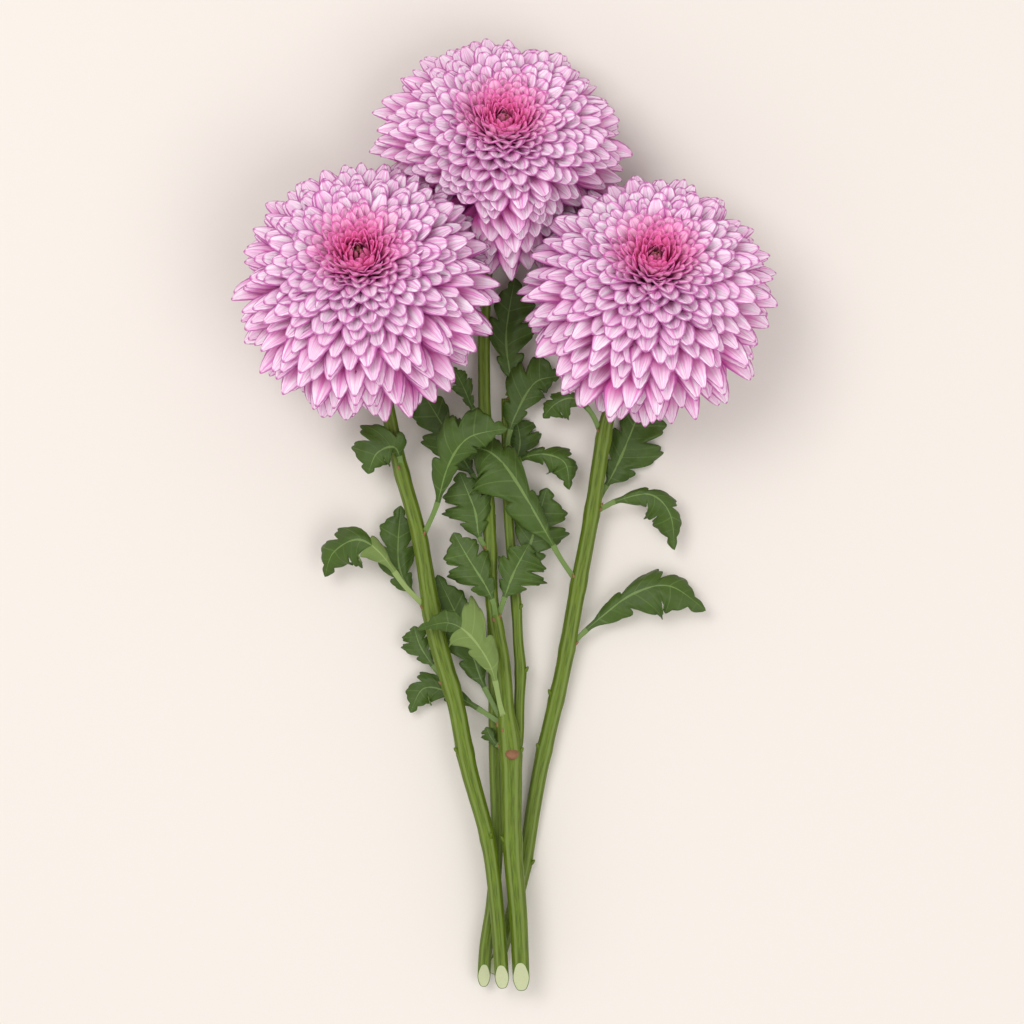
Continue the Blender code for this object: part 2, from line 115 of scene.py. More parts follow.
def mottled_material(name, roughness, grain, one, other, relief=None):
    """A material mottled between two colours, and in relief too if its strength and depth are given."""
    made, shader = new_material(name, Roughness=roughness)
    mottles = add(made, "ShaderNodeTexNoise", {"Scale": grain, "Detail": 3.0},
                  {"Vector": add(made, "ShaderNodeTexCoord").outputs["Object"]})
    mixed = add(made, "ShaderNodeMixRGB", {"Color1": linear(one), "Color2": linear(other)},
                {"Fac": mottles.outputs["Fac"]})
    connect(made, mixed.outputs["Color"], shader, "Base Color")
    if relief:
        strength, depth = relief
        bump = add(made, "ShaderNodeBump", {"Strength": strength, "Distance": depth * MM},
                   {"Height": mottles.outputs["Fac"]})
        connect(made, bump.outputs["Normal"], shader, "Normal")
    return made


def finish_piece(name, bm, materials, slot, *nodes):
    """Makes the bmesh an object that rides on the bunch and stands for these CAD nodes."""
    mesh = bpy.data.meshes.new(name)
    bm.to_mesh(mesh)
    bm.free()
    for material in materials:
        mesh.materials.append(material)
    for face in mesh.polygons:
        face.use_smooth = True
    piece = bpy.data.objects.new(name, mesh)
    bpy.context.scene.collection.objects.link(piece)
    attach(piece, "root")
    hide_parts(*nodes)
    return piece


def bloom_matrix(bloom):
    """From the bloom's own frame, centred on the origin with its axis along +Z, to the bunch's."""
    place = Matrix.Translation(Vector(bloom["centre"]) * MM)
    tilt = Matrix.Rotation(-math.radians(bloom["tilt"]), 4, "X")
    turn = Matrix.Rotation(math.radians(bloom["turn"]), 4, "Y")
    return place @ turn @ tilt


def around(radius, angle):
    """The point at this radius and angle from the +Z axis, in the XZ plane."""
    return Vector((radius * math.sin(angle), 0.0, radius * math.cos(angle)))


def seat_depth(bloom):
    """How far the middle of the knob lies behind the middle of the ball of petals."""
    return bloom["seat"] * bloom["radius"] * MM


# Bract: a thin green scale, dull and mottled with the paler tone of its papery edge.
bract_skin = mottled_material(
    "living green bract, dull", 0.62, BRACT_GRAIN, CALYX_COLOUR, BRACT_EDGE_COLOUR, (0.25, 0.2),
)


def spun(profile, steps):
    """A bmesh of the profile turned right round the Z axis."""
    bm = bmesh.new()
    verts = [bm.verts.new(point) for point in profile]
    edges = [bm.edges.new(pair) for pair in zip(verts, verts[1:])]
    bmesh.ops.spin(
        bm, geom=verts + edges, cent=(0, 0, 0), axis=(0, 0, 1), angle=2 * math.pi, steps=steps,
        use_merge=True, use_duplicate=False,
    )
    bmesh.ops.remove_doubles(bm, verts=bm.verts, dist=0.01 * MM)
    bmesh.ops.recalc_face_normals(bm, faces=bm.faces)
    return bm


def add_bract(bm, seat, turn, angle, length):
    """A small pointed scale that lies along the knob, with its tip towards the petals."""
    grid = bmesh.ops.create_grid(bm, x_segments=4, y_segments=2, size=1.0)
    for vert in grid["verts"]:
        along = (vert.co.x + 1) / 2
        across = vert.co.y
        wide = BRACT_HALF_WIDTH * MM * math.sin(math.pi * (0.25 + 0.72 * along))
        lift = (BRACT_LIFT + BRACT_OPEN * along) * MM
        at = around(KNOB_RADIUS * MM + lift, math.radians(angle) - along * length / KNOB_RADIUS)
        vert.co = Vector((at.x, across * wide, at.z + seat))
        vert.co.rotate(Matrix.Rotation(turn, 3, "Z"))


for name, bloom in BLOOMS.items():
    seat = -seat_depth(bloom)
    dome = [Vector((0, 0, seat)) + around(KNOB_RADIUS * MM, math.radians(a)) for a in KNOB_ROWS]
    cup = [
        Vector((wide * KNOB_RADIUS * MM, 0, seat - low * CALYX_LENGTH * MM))
        for wide, low in CUP_OUTLINE
    ]
    end = Vector((0, 0, seat - CALYX_LENGTH * MM))
    bm = spun(dome + cup + [end], KNOB_SIDES)
    bracts = bmesh.new()
    for count, angle, length in BRACT_ROWS:
        for i in range(count):
            add_bract(bracts, seat, 2 * math.pi * (i + BRACT_SHIFT * angle) / count, angle, length)
    bmesh.ops.solidify(bracts, geom=bracts.faces[:], thickness=BRACT_THICKNESS * MM)
    bmesh.ops.recalc_face_normals(bracts, faces=bracts.faces)
    scales = bpy.data.meshes.new("scales")
    bracts.to_mesh(scales)
    bracts.free()
    bm.from_mesh(scales)
    bpy.data.meshes.remove(scales)
    bmesh.ops.transform(bm, matrix=bloom_matrix(bloom), verts=bm.verts)
    finish_piece(f"{name}_calyx_and_bracts", bm, [bract_skin], "calyx", f"{name}_calyx")


# --- Stems ----------------------------------------------------------------------------------------
# Four cut stems and a side shoot of the centre one, solid and fleshy, with blunt ribs along them and a
# swollen node with a small bud at each leaf. Each foot was cut off at a slant with a knife.

# Points from the lower end upwards, as (x, y, z, radius). A flowering stem goes on to its calyx.
STEMS = {
    "left": [(-1.0, -212.0, 18.0, 3.1), (-3.5, -178.0, 17.4, 3.2), (-7.5, -146.0, 17.2, 3.3),
             (-16.5, -112.0, 17.0, 3.8), (-22.0, -84.0, 16.4, 3.8), (-31.0, -52.0, 15.6, 4.1),
             (-38.0, -11.0, 15.0, 3.4), (-46.5, 20.0, 14.4, 3.3), (-52.0, 45.0, 14.4, 3.1)],
    "centre": [(7.5, -213.0, 18.6, 3.6), (5.8, -178.0, 18.2, 4.0), (3.2, -146.0, 17.8, 4.3),
               (2.6, -108.0, 17.6, 4.8), (0.6, -88.0, 17.2, 3.7), (-1.4, -65.0, 16.4, 3.6),
               (-5.8, -38.0, 15.0, 2.9), (-6.6, -12.0, 13.4, 2.8), (-8.4, 20.0, 11.8, 2.8),
               (-9.4, 60.0, 9.6, 2.7), (-9.0, 96.0, 8.6, 2.7)],
    "right": [(-5.5, -207.0, 3.4, 3.0), (2.5, -182.0, 3.6, 3.1), (8.5, -158.0, 3.8, 3.2),
              (13.0, -130.0, 4.6, 3.3), (17.2, -108.0, 5.4, 3.4), (26.0, -70.0, 7.4, 3.5),
              (32.5, -34.0, 9.4, 3.6), (38.5, -2.0, 11.0, 3.4), (43.5, 31.0, 12.4, 3.4),
              (47.5, 48.0, 13.0, 3.1)],
    "back": [(-9.6, -212.0, 9.6, 2.8), (-8.6, -194.0, 9.9, 2.9), (-5.4, -172.0, 10.0, 2.9),
             (-3.6, -142.0, 9.4, 2.8), (-4.4, -108.0, 7.8, 2.8), (-4.8, -70.0, 6.0, 2.7),
             (-5.8, -30.0, 5.0, 2.4), (-6.4, 0.0, 4.4, 2.2)],
    "shoot": [(3.8, -112.0, 16.0, 1.9), (6.0, -101.0, 13.0, 2.2), (6.4, -84.0, 10.6, 2.3),
              (6.9, -70.0, 9.8, 2.5), (5.8, -56.0, 9.4, 2.3), (5.0, -40.0, 9.0, 2.2),
              (2.0, -8.0, 8.4, 2.1), (0.6, 24.0, 7.8, 2.0), (0.4, 52.0, 7.4, 1.8)],
}
# Bare nodes, where a leaf was stripped off: how far along Y, and which side its bud is on, in degrees
# from the right-hand side upwards.
BARE_NODES = {
    "left": [(-106.0, 150.0), (-145.0, 60.0)],
    "centre": [(-107.0, 20.0), (-146.0, 150.0)],
    "right": [(-82.0, 160.0), (-106.0, 150.0), (-157.0, 20.0)],
    "back": [],
    "shoot": [(-71.0, 20.0), (-43.0, 40.0)],
}
# The scar of a torn-off shoot: a flat bud, wide and tall as shares of its size.
SCAR = {"along_y": -108.5, "degrees": 82.0, "size": 3.0, "wide": 1.05, "tall": 0.5}
NECK_RUN = 10.0  # how far below its calyx a stem has turned into the bloom's axis
CUT_ANGLE = 28.0  # degrees between the knife's cut and the stem
CUT_NEAR = 0.05  # a point this near the cut's plane is on its rim
RIM_MERGE = 0.3  # points of the rim that are nearer to each other than this become one
RIND_WIDTH = 0.3
PITH_SLOPE = 0.35  # the width over which the soft flesh has sunk below the rind
PITH_DEPTH = 0.12
RIB_COUNT = 6
RIB_DEPTH = 0.02  # of the radius
NODE_SWELL = 0.10  # of the radius
NODE_REACH = 3.2  # along the stem
UNEVEN_DEPTH = 0.02  # of the radius
UNEVEN_TURN = 30  # radians in a metre of stem
AXIL_BUD_ABOVE = 2  # how far above its leaf a bud sits
AXIL_BUD_SIZE = 1.0
STEM_SIDES = 32
STEM_STEP = 2.5
STEM_COLOUR = "627812"
STEM_SHADE_COLOUR = "485A09"
STEM_RIB_COLOUR = "7B8D48"
CUT_COLOUR = "B8C08C"
PITH_COLOUR = "C8CBA8"
RIND_COLOUR = "4E6E1F"
SCAR_COLOUR = "74402A"
SCALE_COLOUR = "9A7450"
BUD_GRAIN = 900.0  # mottles in a metre, so each is about 1.1 mm wide
FLESH_GRAIN = 1400.0  # cells in a metre, each about 0.7 mm wide: drawn coarser than real ones, to show
# The numbers of the skins in a stem's list of materials.
GREEN_SKIN, RIND_SKIN, FLESH_SKIN, BUD_SKIN = range(4)


def smooth_point(points, at):
    """The point at this share of the way along a smooth curve through evenly numbered points."""
    last = len(points) - 1
    scaled = min(max(at, 0.0), 1.0) * last
    i = min(int(scaled), last - 1)
    t = scaled - i
    before, start = points[max(i - 1, 0)], points[i]
    end, after = points[i + 1], points[min(i + 2, last)]
    return 0.5 * (
        2 * start
        + (end - before) * t
        + (2 * before - 5 * start + 4 * end - after) * t**2
        + (3 * start - before - 3 * end + after) * t**3
    )


def stem_points(name):
    """The stem's points in metres, with the neck that turns into the calyx if the stem bears a bloom."""
    points = [Vector(p) * MM for p in STEMS[name]]
    if name in BLOOMS:
        bloom = BLOOMS[name]
        matrix = bloom_matrix(bloom)
        end = -seat_depth(bloom) - CALYX_LENGTH * MM
        for below in (NECK_RUN * MM, NECK_RUN / 2 * MM, 0.0):
            points.append(Vector((*(matrix @ Vector((0, 0, end - below))), STEMS[name][-1][3] * MM)))
    return points


def on_stem(name, along_y):
    """The point of a stem's axis at this Y, its direction there and its radius."""
    points = stem_points(name)
    low, high = 0.0, 1.0
    for _ in range(40):
        middle = (low + high) / 2
        if smooth_point(points, middle).y < along_y:
            low = middle
        else:
            high = middle
    here = smooth_point(points, low)
    ahead = smooth_point(points, low + 0.01)
    return here.xyz, (ahead.xyz - here.xyz).normalized(), here.w


def tube(points, node_places, step=STEM_STEP * MM):
    """A ribbed tube along the points, swollen at its nodes, and its places along and around as an
    attribute. The first ring is extruded from row to row."""
    length = sum((b.xyz - a.xyz).length for a, b in zip(points, points[1:]))
    rows = int(length / step)
    bm = bmesh.new()
    grain = bm.verts.layers.float_vector.new("grain")
    ribs = bm.verts.layers.float.new("ribs")
    circle = bmesh.ops.create_circle(bm, segments=STEM_SIDES, radius=1.0)["verts"]
    ring = sorted(circle, key=lambda v: math.atan2(v.co.y, v.co.x))
    side = Vector((1, 0, 0))
    walked = 0.0
    before = smooth_point(points, 0.0)
    for i in range(rows + 1):
        at = smooth_point(points, i / rows)
        onward = smooth_point(points, min(1.0, (i + 0.5) / rows))
        along = (onward - smooth_point(points, max(0.0, (i - 0.5) / rows))).xyz.normalized()
        side = (side - along * side.dot(along)).normalized()
        up = along.cross(side)
        walked += (at.xyz - before.xyz).length
        before = at
        swell = sum(math.exp(-(((at.y - place) / (NODE_REACH * MM)) ** 2)) for place in node_places)
        if i:
            edges = [bm.edges.get((a, b)) for a, b in zip(ring, ring[1:] + ring[:1])]
            made = bmesh.ops.extrude_edge_only(bm, edges=edges)["geom"]
            fresh = {v for v in made if isinstance(v, bmesh.types.BMVert)}
            ring = [
                next(e.other_vert(v) for e in v.link_edges if e.other_vert(v) in fresh) for v in ring
            ]
        for k, vert in enumerate(ring):
            turn = 2 * math.pi * k / STEM_SIDES
            rib = 1 + RIB_DEPTH * math.cos(RIB_COUNT * turn)
            rib += UNEVEN_DEPTH * math.sin(3 * turn + walked * UNEVEN_TURN)
            radius = at.w * (rib + NODE_SWELL * min(swell, 1.0))
            out = side * math.cos(turn) + up * math.sin(turn)
            vert.co = at.xyz + out * radius
            vert[grain] = Vector((math.cos(turn), math.sin(turn), walked / MM))
            vert[ribs] = 0.5 + 0.5 * math.cos(RIB_COUNT * turn)
    return bm


def close_ends(bm, foot=None):
    """Slants the foot if it was cut, fills both ends and gives a cut one its rind and pith."""
    if foot is not None:
        at, out = foot
        bmesh.ops.bisect_plane(
            bm, geom=bm.verts[:] + bm.edges[:] + bm.faces[:], plane_co=at, plane_no=out,
            clear_outer=True,
        )
    bmesh.ops.holes_fill(bm, edges=[e for e in bm.edges if e.is_boundary])
    bmesh.ops.recalc_face_normals(bm, faces=bm.faces)
    if foot is None:
        return
    at, out = foot
    rim = [v for v in bm.verts if abs((v.co - at).dot(out)) < CUT_NEAR * MM]
    bmesh.ops.remove_doubles(bm, verts=rim, dist=RIM_MERGE * MM)
    cap = [
        f for f in bm.faces
        if len(f.verts) > 8 and abs((f.calc_center_median() - at).dot(out)) < 2 * CUT_NEAR * MM
    ]
    rind = bmesh.ops.inset_region(bm, faces=cap, thickness=RIND_WIDTH * MM,
                                  use_even_offset=True)["faces"]
    for face in rind:
        face.material_index = RIND_SKIN
    soft = bmesh.ops.inset_region(bm, faces=cap, thickness=PITH_SLOPE * MM,
                                  depth=-PITH_DEPTH * MM)["faces"]
    for face in soft + cap:
        face.material_index = FLESH_SKIN
    bmesh.ops.poke(bm, faces=cap)


def add_bud(bm, name, along_y, degrees, size=1.5, skin=BUD_SKIN, wide=0.62, tall=1.5):
    """A pointed bud in the angle above a node, its base sunk in the stem."""
    axis, along, radius = on_stem(name, along_y * MM)
    side = Vector((1, 0, 0))
    side = (side - along * side.dot(along)).normalized()
    up = Vector((0, 0, 1))
    up = (up - along * up.dot(along)).normalized()
    out = side * math.cos(math.radians(degrees)) + up * math.sin(math.radians(degrees))
    bud = bmesh.ops.create_uvsphere(bm, u_segments=10, v_segments=8, radius=1.0)["verts"]
    lean = (out * 0.7 + along).normalized()
    turn = lean.to_track_quat("Z", "Y").to_matrix()
    grain = bm.verts.layers.float_vector["grain"]
    for vert in bud:
        shape = Vector((vert.co.x * wide, vert.co.y * wide,
                        vert.co.z * (tall if vert.co.z > 0 else 0.9)))
        vert[grain] = Vector((vert.co.x, vert.co.y, vert.co.z))
        vert.co = axis + out * (radius * 1.02) + along * size * 0.7 * MM + turn @ shape * size * MM
        for face in vert.link_faces:
            face.material_index = skin


# Stem skin: a smooth green rind with a thin waxy bloom on the ribs, and darker streaks between them.
stem_skin, shader = new_material("ribbed green stem rind, waxy", Roughness=0.5, IOR=1.36)
grain_at = add(stem_skin, "ShaderNodeAttribute", {"attribute_name": "grain"})
# The streaks run along the stem: 40 times longer than they are wide.
stretched = add(stem_skin, "ShaderNodeMapping", {"Scale": (1.6, 1.6, 0.04)},
                {"Vector": grain_at.outputs["Vector"]})
streaks = add(stem_skin, "ShaderNodeTexNoise", {"Scale": 3.4, "Detail": 4.0, "Roughness": 0.55},
              {"Vector": stretched.outputs["Vector"]})
streak_ramp = add(stem_skin, "ShaderNodeValToRGB", None, {"Fac": streaks.outputs["Fac"]})
streak_ramp.color_ramp.elements[0].position = 0.34
streak_ramp.color_ramp.elements[0].color = linear(STEM_SHADE_COLOUR)
streak_ramp.color_ramp.elements[1].position = 0.62
streak_ramp.color_ramp.elements[1].color = linear(STEM_COLOUR)
# The ribs are paler than the flats between them.
rib_at = add(stem_skin, "ShaderNodeAttribute", {"attribute_name": "ribs"})
rib_share = add(stem_skin, "ShaderNodeMapRange",
                {"From Min": 0.55, "From Max": 1.0, "To Min": 0.0, "To Max": 0.8},
                {"Value": rib_at.outputs["Fac"]})
ribbed = add(stem_skin, "ShaderNodeMixRGB", {"Color2": linear(STEM_RIB_COLOUR)},
             {"Fac": rib_share.outputs[0], "Color1": streak_ramp.outputs["Color"]})
connect(stem_skin, ribbed.outputs["Color"], shader, "Base Color")
bump = add(stem_skin, "ShaderNodeBump", {"Strength": 0.35, "Distance": 0.3 * MM},
           {"Height": streaks.outputs["Fac"]})
connect(stem_skin, bump.outputs["Normal"], shader, "Normal")

# Rind at the cut: the same green skin seen edge-on, as a thin dark ring.
rind, shader = new_material("cut green rind", Roughness=0.5)
shader.inputs["Base Color"].default_value = linear(RIND_COLOUR)

# Bud scales and scars: dry, in two browns.
bud_skin = mottled_material("dry brown bud scale", 0.7, BUD_GRAIN, SCAR_COLOUR, SCALE_COLOUR)

# Cut flesh: wet pale pith mottled with greener vessels, and grainy where the knife went through.
cut_flesh = mottled_material(
    "cut stem flesh, moist", 0.35, FLESH_GRAIN, CUT_COLOUR, PITH_COLOUR, (0.3, 0.1),
)

# Leaves: the stem, where along Y the leaf grows from it, and the midrib as points from the stem's axis
# there, base to tip. left and right are each half's width and how many degrees it rises from the midrib.
# petiole is the bare stalk's share of the midrib, where it isn't the usual one, and end is how much of
# its width a leaf keeps in its outer part, where it isn't all of it.
LEAVES = {
    "right_leaf_1": {"on": "right", "at": -60, "left": (8, -30), "right": (15, 8), "petiole": 0.06,
                     "midrib": [(15, 14, 2), (30, 25, 5), (46, 28, 6), (62, 17, 3)]},
    "right_leaf_2": {"on": "right", "at": 0, "left": (6, -30), "right": (11, -10), "petiole": 0.14,
                     "midrib": [(11, 6, 3), (26, 9, 7), (35, 0, 5), (37, -16, 0)]},
    "right_leaf_3": {"on": "right", "at": 2, "left": (9, 6), "right": (17, 2), "petiole": 0.12,
                     "midrib": [(8, 14, -4), (15, 29, -6), (25, 54, -8)]},
    "right_leaf_4": {"on": "right", "at": 34, "left": (9, -8), "right": (5, -20),
                     "midrib": [(-6, 12, 3), (-14, 18, 5), (-22, 15, 4), (-27, 9, 1)]},
    "right_leaf_5": {"on": "right", "at": -31, "left": (20, 2), "right": (9, -25),
                     "midrib": [(-8, 11, 6), (-18, 29, 14), (-30, 49, 18), (-40, 59, 16), (-52, 61, 9)]},
    "left_leaf_1": {"on": "left", "at": 18, "left": (8, -10), "right": (14, -8), "petiole": 0.1,
                    "midrib": [(-1, 8, 5), (-4, 12, 9), (-11, 9, 10), (-15, 0, 8)]},
    "left_leaf_2": {"on": "left", "at": -12, "left": (14, 2), "right": (8, -10),
                    "midrib": [(7, 15, 6), (13, 34, 16), (22, 46, 21), (39, 50, 19)]},
    "left_leaf_3": {"on": "left", "at": -43, "left": (11, 12), "right": (8, 0),
                    "midrib": [(-9, 8, -4), (-15, 22, -7), (-14, 47, -8)]},
    "left_leaf_4": {"on": "left", "at": -44, "left": (13, -4), "right": (8, -30),
                    "midrib": [(-12, 12, 3), (-23, 27, 8), (-33, 33, 9), (-44, 27, 4), (-48, 16, -3)]},
    "left_leaf_5": {"on": "left", "at": -77, "left": (8, 0), "right": (6, 0),
                    "midrib": [(-8, 9, -5), (-14, 18, -7), (-17, 27, -8)]},
    "centre_leaf_1": {"on": "centre", "at": -99, "left": (10, 0), "right": (14, 0), "end": 0.5,
                      "midrib": [(-4, 14, 5), (-8, 31, 13), (-17, 45, 18), (-27, 51, 16), (-41, 48, 8)]},
    "centre_leaf_2": {"on": "centre", "at": -97, "left": (13, 8), "right": (9, 0),
                      "midrib": [(-11, 20, -5), (-19, 42, -8), (-32, 70, -8)]},
    "centre_leaf_3": {"on": "centre", "at": -96, "left": (8, 0), "right": (7, 0),
                      "midrib": [(-10, 7, -4), (-26, 16, -9), (-38, 18, -10), (-44, 7, -11)]},
    "centre_leaf_4": {"on": "centre", "at": -50, "left": (12, 4), "right": (9, 8),
                      "midrib": [(-1, 10, 5), (-5, 19, 6), (-12, 30, 5), (-19, 42, 3)]},
    "centre_leaf_5": {"on": "centre", "at": -49, "left": (9, 10), "right": (15, 2),
                      "midrib": [(4, 12, 3), (8, 23, 3), (15, 36, 1)]},
    "centre_leaf_6": {"on": "centre", "at": -18, "left": (14, 2), "right": (9, 6),
                      "midrib": [(-5, 8, 3), (-7, 20, 4), (-14, 37, 3)]},
    "centre_leaf_7": {"on": "centre", "at": 4, "left": (12, 0), "right": (8, 6),
                      "midrib": [(-7, 14, 1), (-16, 29, 0), (-32, 55, 0)]},
    "centre_leaf_8": {"on": "centre", "at": 43, "left": (5, 10), "right": (5, 10),
                      "midrib": [(-5, 4, 2), (-9, 13, 3), (-14, 23, 3)]},
    "centre_leaf_9": {"on": "centre", "at": -106, "left": (4, 0), "right": (3, 0),
                      "midrib": [(-7, 4, -3), (-11, 11, -5)]},
    "shoot_leaf_1": {"on": "shoot", "at": -38, "left": (10, 2), "right": (15, 0),
                     "midrib": [(3, 13, 4), (8, 30, 4), (14, 50, 3)]},
    "shoot_leaf_2": {"on": "shoot", "at": 17, "left": (7, -35), "right": (9, -12),
                     "midrib": [(5, 7, 4), (16, 10, 9), (26, 6, 8), (28, -6, 3)]},
    "shoot_leaf_3": {"on": "shoot", "at": 19, "left": (7, 0), "right": (10, 0),
                     "midrib": [(4, 5, -3), (6, 14, -4), (4, 25, -5)]},
    "shoot_leaf_4": {"on": "shoot", "at": 25, "left": (14, 16), "right": (8, -10),
                     "midrib": [(1, 10, 3), (5, 21, 4), (13, 34, 3), (24, 37, 0)]},
    "shoot_leaf_5": {"on": "shoot", "at": 50, "left": (9, 8), "right": (14, 6),
                     "midrib": [(2, 10, 3), (0, 30, 3), (4, 56, 2)]},
}

for name in STEMS:
    points = stem_points(name)
    leafy = [leaf["at"] * MM for leaf in LEAVES.values() if leaf["on"] == name]
    bare = [place * MM for place, _ in BARE_NODES[name]]
    bm = tube(points, leafy + bare)
    if name == "shoot":
        close_ends(bm)
    else:
        foot, onward = points[0], smooth_point(points, 0.05)
        back = (foot.xyz - onward.xyz).normalized()
        angle = math.radians(CUT_ANGLE)
        out = Vector((0, 0, 1)) * math.cos(angle) + back * math.sin(angle)
        close_ends(bm, (foot.xyz - Vector((0, 0, foot.w)), out))
    for place, degrees in BARE_NODES[name]:
        add_bud(bm, name, place, degrees, skin=GREEN_SKIN)
    for leaf in LEAVES.values():
        if leaf["on"] == name:
            away, _, high = leaf["midrib"][0]
            side = math.degrees(math.atan2(max(high, 0) + 1, away))
            add_bud(bm, name, leaf["at"] + AXIL_BUD_ABOVE, side, AXIL_BUD_SIZE)
    if name == "centre":
        add_bud(bm, name, **SCAR)
    skins = [stem_skin, rind, cut_flesh, bud_skin]
    finish_piece(f"{name}_stem_with_nodes", bm, skins, "stem", f"{name}_stem")


# --- Leaves ---------------------------------------------------------------------------------------
# Soft pinnately lobed leaves on short petioles, dark green above and greyer below, with pale veins. They
# have begun to hang, so many arch over and curl at the tip and along the margins.
PETIOLE_SHARE = 0.2
PETIOLE_SUNK = 0.8  # how deep the petiole's foot is sunk, of the stem's radius
LOBES = 3.4  # on each side, with half of the end lobe
LOBE_START = 0.05  # of a lobe
LOBE_DEPTH = 0.62  # of the width
LOBE_FORWARD = 0.32  # how far a lobe leans towards the tip, of what is left of the leaf's length
TOOTH_DEPTH = 0.12
END_FROM = 0.55  # the share of the leaf past which one with a narrow end is narrower
END_RUN = 0.15
# How the blade lies, as shares of its half width: the trough along its midrib, the waves of its lobes,
# soft folds and the droop of its margins.
BLADE_TROUGH = 0.22
LOBE_WAVE = 0.16
SOFT_FOLDS = 0.3
MARGIN_DROOP = 0.2
LEAF_ROWS = 64
LEAF_COLUMNS = 16
LEAF_THICKNESS = 0.45
PETIOLE_HALF_WIDTH = 1.3
LEAF_COLOUR = "4C6522"
# The darker blotches: partly the leaf's own uneven tone, partly painted shade of its puckered surface.
LEAF_BLOTCH_AND_SHADE_COLOUR = "334817"
VEIN_COLOUR = "7C9652"
LEAF_BACK_COLOUR = "6E8244"
LEAF_BACK_VEIN_COLOUR = "8FA262"
LEAF_BLOTCH_AND_SHEEN_GRAIN = 90.0  # in a metre, so each is about 11 mm wide
LEAF_PUFFS = 650.0  # in a metre, so each is about 1.5 mm wide
# Leaves whose blade shows its underside on top, up to this share of the leaf, where it folds over.
TURNED_LEAVES = {"centre_leaf_1": 0.64, "left_leaf_4": 0.42}


def leaf_start(midrib, stem_way, radius):
    """The share of the midrib at which the petiole comes out of its stem."""
    for i in range(100):
        out = smooth_point(midrib, i / 100)
        if (out - stem_way * out.dot(stem_way)).length > radius * PETIOLE_SUNK:
            return i / 100
    return 0.5


def half_width(share, width):
    """The blade's half width at this share of the leaf, with its lobes and teeth."""
    t = (share - PETIOLE_SHARE) / (1 - PETIOLE_SHARE)
    if t < 0:
        # The petiole is a little waisted.
        return PETIOLE_HALF_WIDTH * MM * (0.85 + 0.5 * (share / PETIOLE_SHARE - 0.6) ** 2)
    # The blade runs down the petiole as a narrow wedge and is widest past its middle.
    oval = math.sin(math.pi * t**0.9) ** 0.8 * min(1.0, t / 0.3) ** 0.6 if t < 1 else 0.0
    wave = abs(math.sin(math.pi * (t * LOBES + LOBE_START)))
    lobe = 1 - LOBE_DEPTH * (1 - 0.3 * t) * (1 - wave**0.75)
    tooth = TOOTH_DEPTH * (abs(math.sin(math.pi * 3 * (t * LOBES + LOBE_START))) - 0.5)
    return max(width * MM * oval * (lobe + tooth), PETIOLE_HALF_WIDTH * MM * (1 - t))


def blade_point(leaf, frame_at, share, across, seed):
    """A point of the blade: across is -1 on its right margin and 1 on its left one."""
    width, lift = leaf["left"] if across > 0 else leaf["right"]
    t = max(0.0, (share - PETIOLE_SHARE) / (1 - PETIOLE_SHARE))
    reach = abs(across)
    narrowed = (1 - leaf.get("end", 1.0)) * min(1.0, max(0.0, share - END_FROM) / END_RUN)
    half = half_width(share, width) * reach * (1 - narrowed)
    forward = LOBE_FORWARD * half / (width * MM) * min(1.0, 2.5 * t) * (1 - share)
    point, along, left, up = frame_at(share + forward)
    # Each half rises from the midrib, more towards its margin, and fully past a quarter of the blade.
    rise = math.radians(lift) * min(1.0, t / 0.25) * (0.6 + 0.4 * reach)
    groove = BLADE_TROUGH * half * (1 - reach)
    wave = math.sin(2 * math.pi * (t * LOBES + 0.35)) * LOBE_WAVE * half * reach
    soft = noise.noise(Vector((share * 5, across * 1.8, seed * 7.3))) * SOFT_FOLDS * half
    droop = -MARGIN_DROOP * half * reach**2
    out = left * math.copysign(1, across) * math.cos(rise) + up * math.sin(rise)
    return point + out * half + up * (groove * min(1, t * 4) + wave + soft + droop)


def thicken(piece, name, thickness):
    """Gives a strip its thickness, and the next skin in its list on the underside."""
    wall = piece.modifiers.new(name, "SOLIDIFY")
    wall.thickness = thickness * MM
    wall.offset = -1.0
    wall.material_offset = 1


def add_leaf(name, leaf, seed):
    """One leaf: a strip along its midrib from inside the stem, given its thickness by a modifier."""
    axis, stem_way, radius = on_stem(leaf["on"], leaf["at"] * MM)
    midrib = [Vector((0, 0, 0))] + [Vector(point) * MM for point in leaf["midrib"]]
    start = leaf_start(midrib, stem_way, radius)
    petiole = leaf.get("petiole", PETIOLE_SHARE)

    def frame_at(share):
        """The midrib's point at this share of the leaf, its direction, its left side and up."""
        if share < PETIOLE_SHARE:
            share *= petiole / PETIOLE_SHARE
        else:
            share = petiole + (share - PETIOLE_SHARE) / (1 - PETIOLE_SHARE) * (1 - petiole)
        at = start + (1 - start) * share
        along = (smooth_point(midrib, at + 0.02) - smooth_point(midrib, at - 0.02)).normalized()
        left = Vector((0, 0, 1)).cross(along).normalized()
        return axis + smooth_point(midrib, at), along, left, along.cross(left)

    bm = bmesh.new()
    places = bm.loops.layers.uv.new("blade")
    grid = bmesh.ops.create_grid(bm, x_segments=LEAF_ROWS, y_segments=LEAF_COLUMNS, size=1.0)
    for face in bm.faces:
        for loop in face.loops:
            loop[places].uv = ((loop.vert.co.x + 1) / 2, loop.vert.co.y * 0.5 + 0.5)
    for vert in grid["verts"]:
        vert.co = blade_point(leaf, frame_at, (vert.co.x + 1) / 2, vert.co.y, seed)
    for face in bm.faces:
        if face.loops[0][places].uv.x < TURNED_LEAVES.get(name, 0.0):
            face.material_index = 1
    # A turned part has its back on top and its face below, so the list goes face, back, face.
    piece = finish_piece(f"{name}_blade", bm, [leaf_face, leaf_back, leaf_face], "leaf", name)
    thicken(piece, "blade", LEAF_THICKNESS)


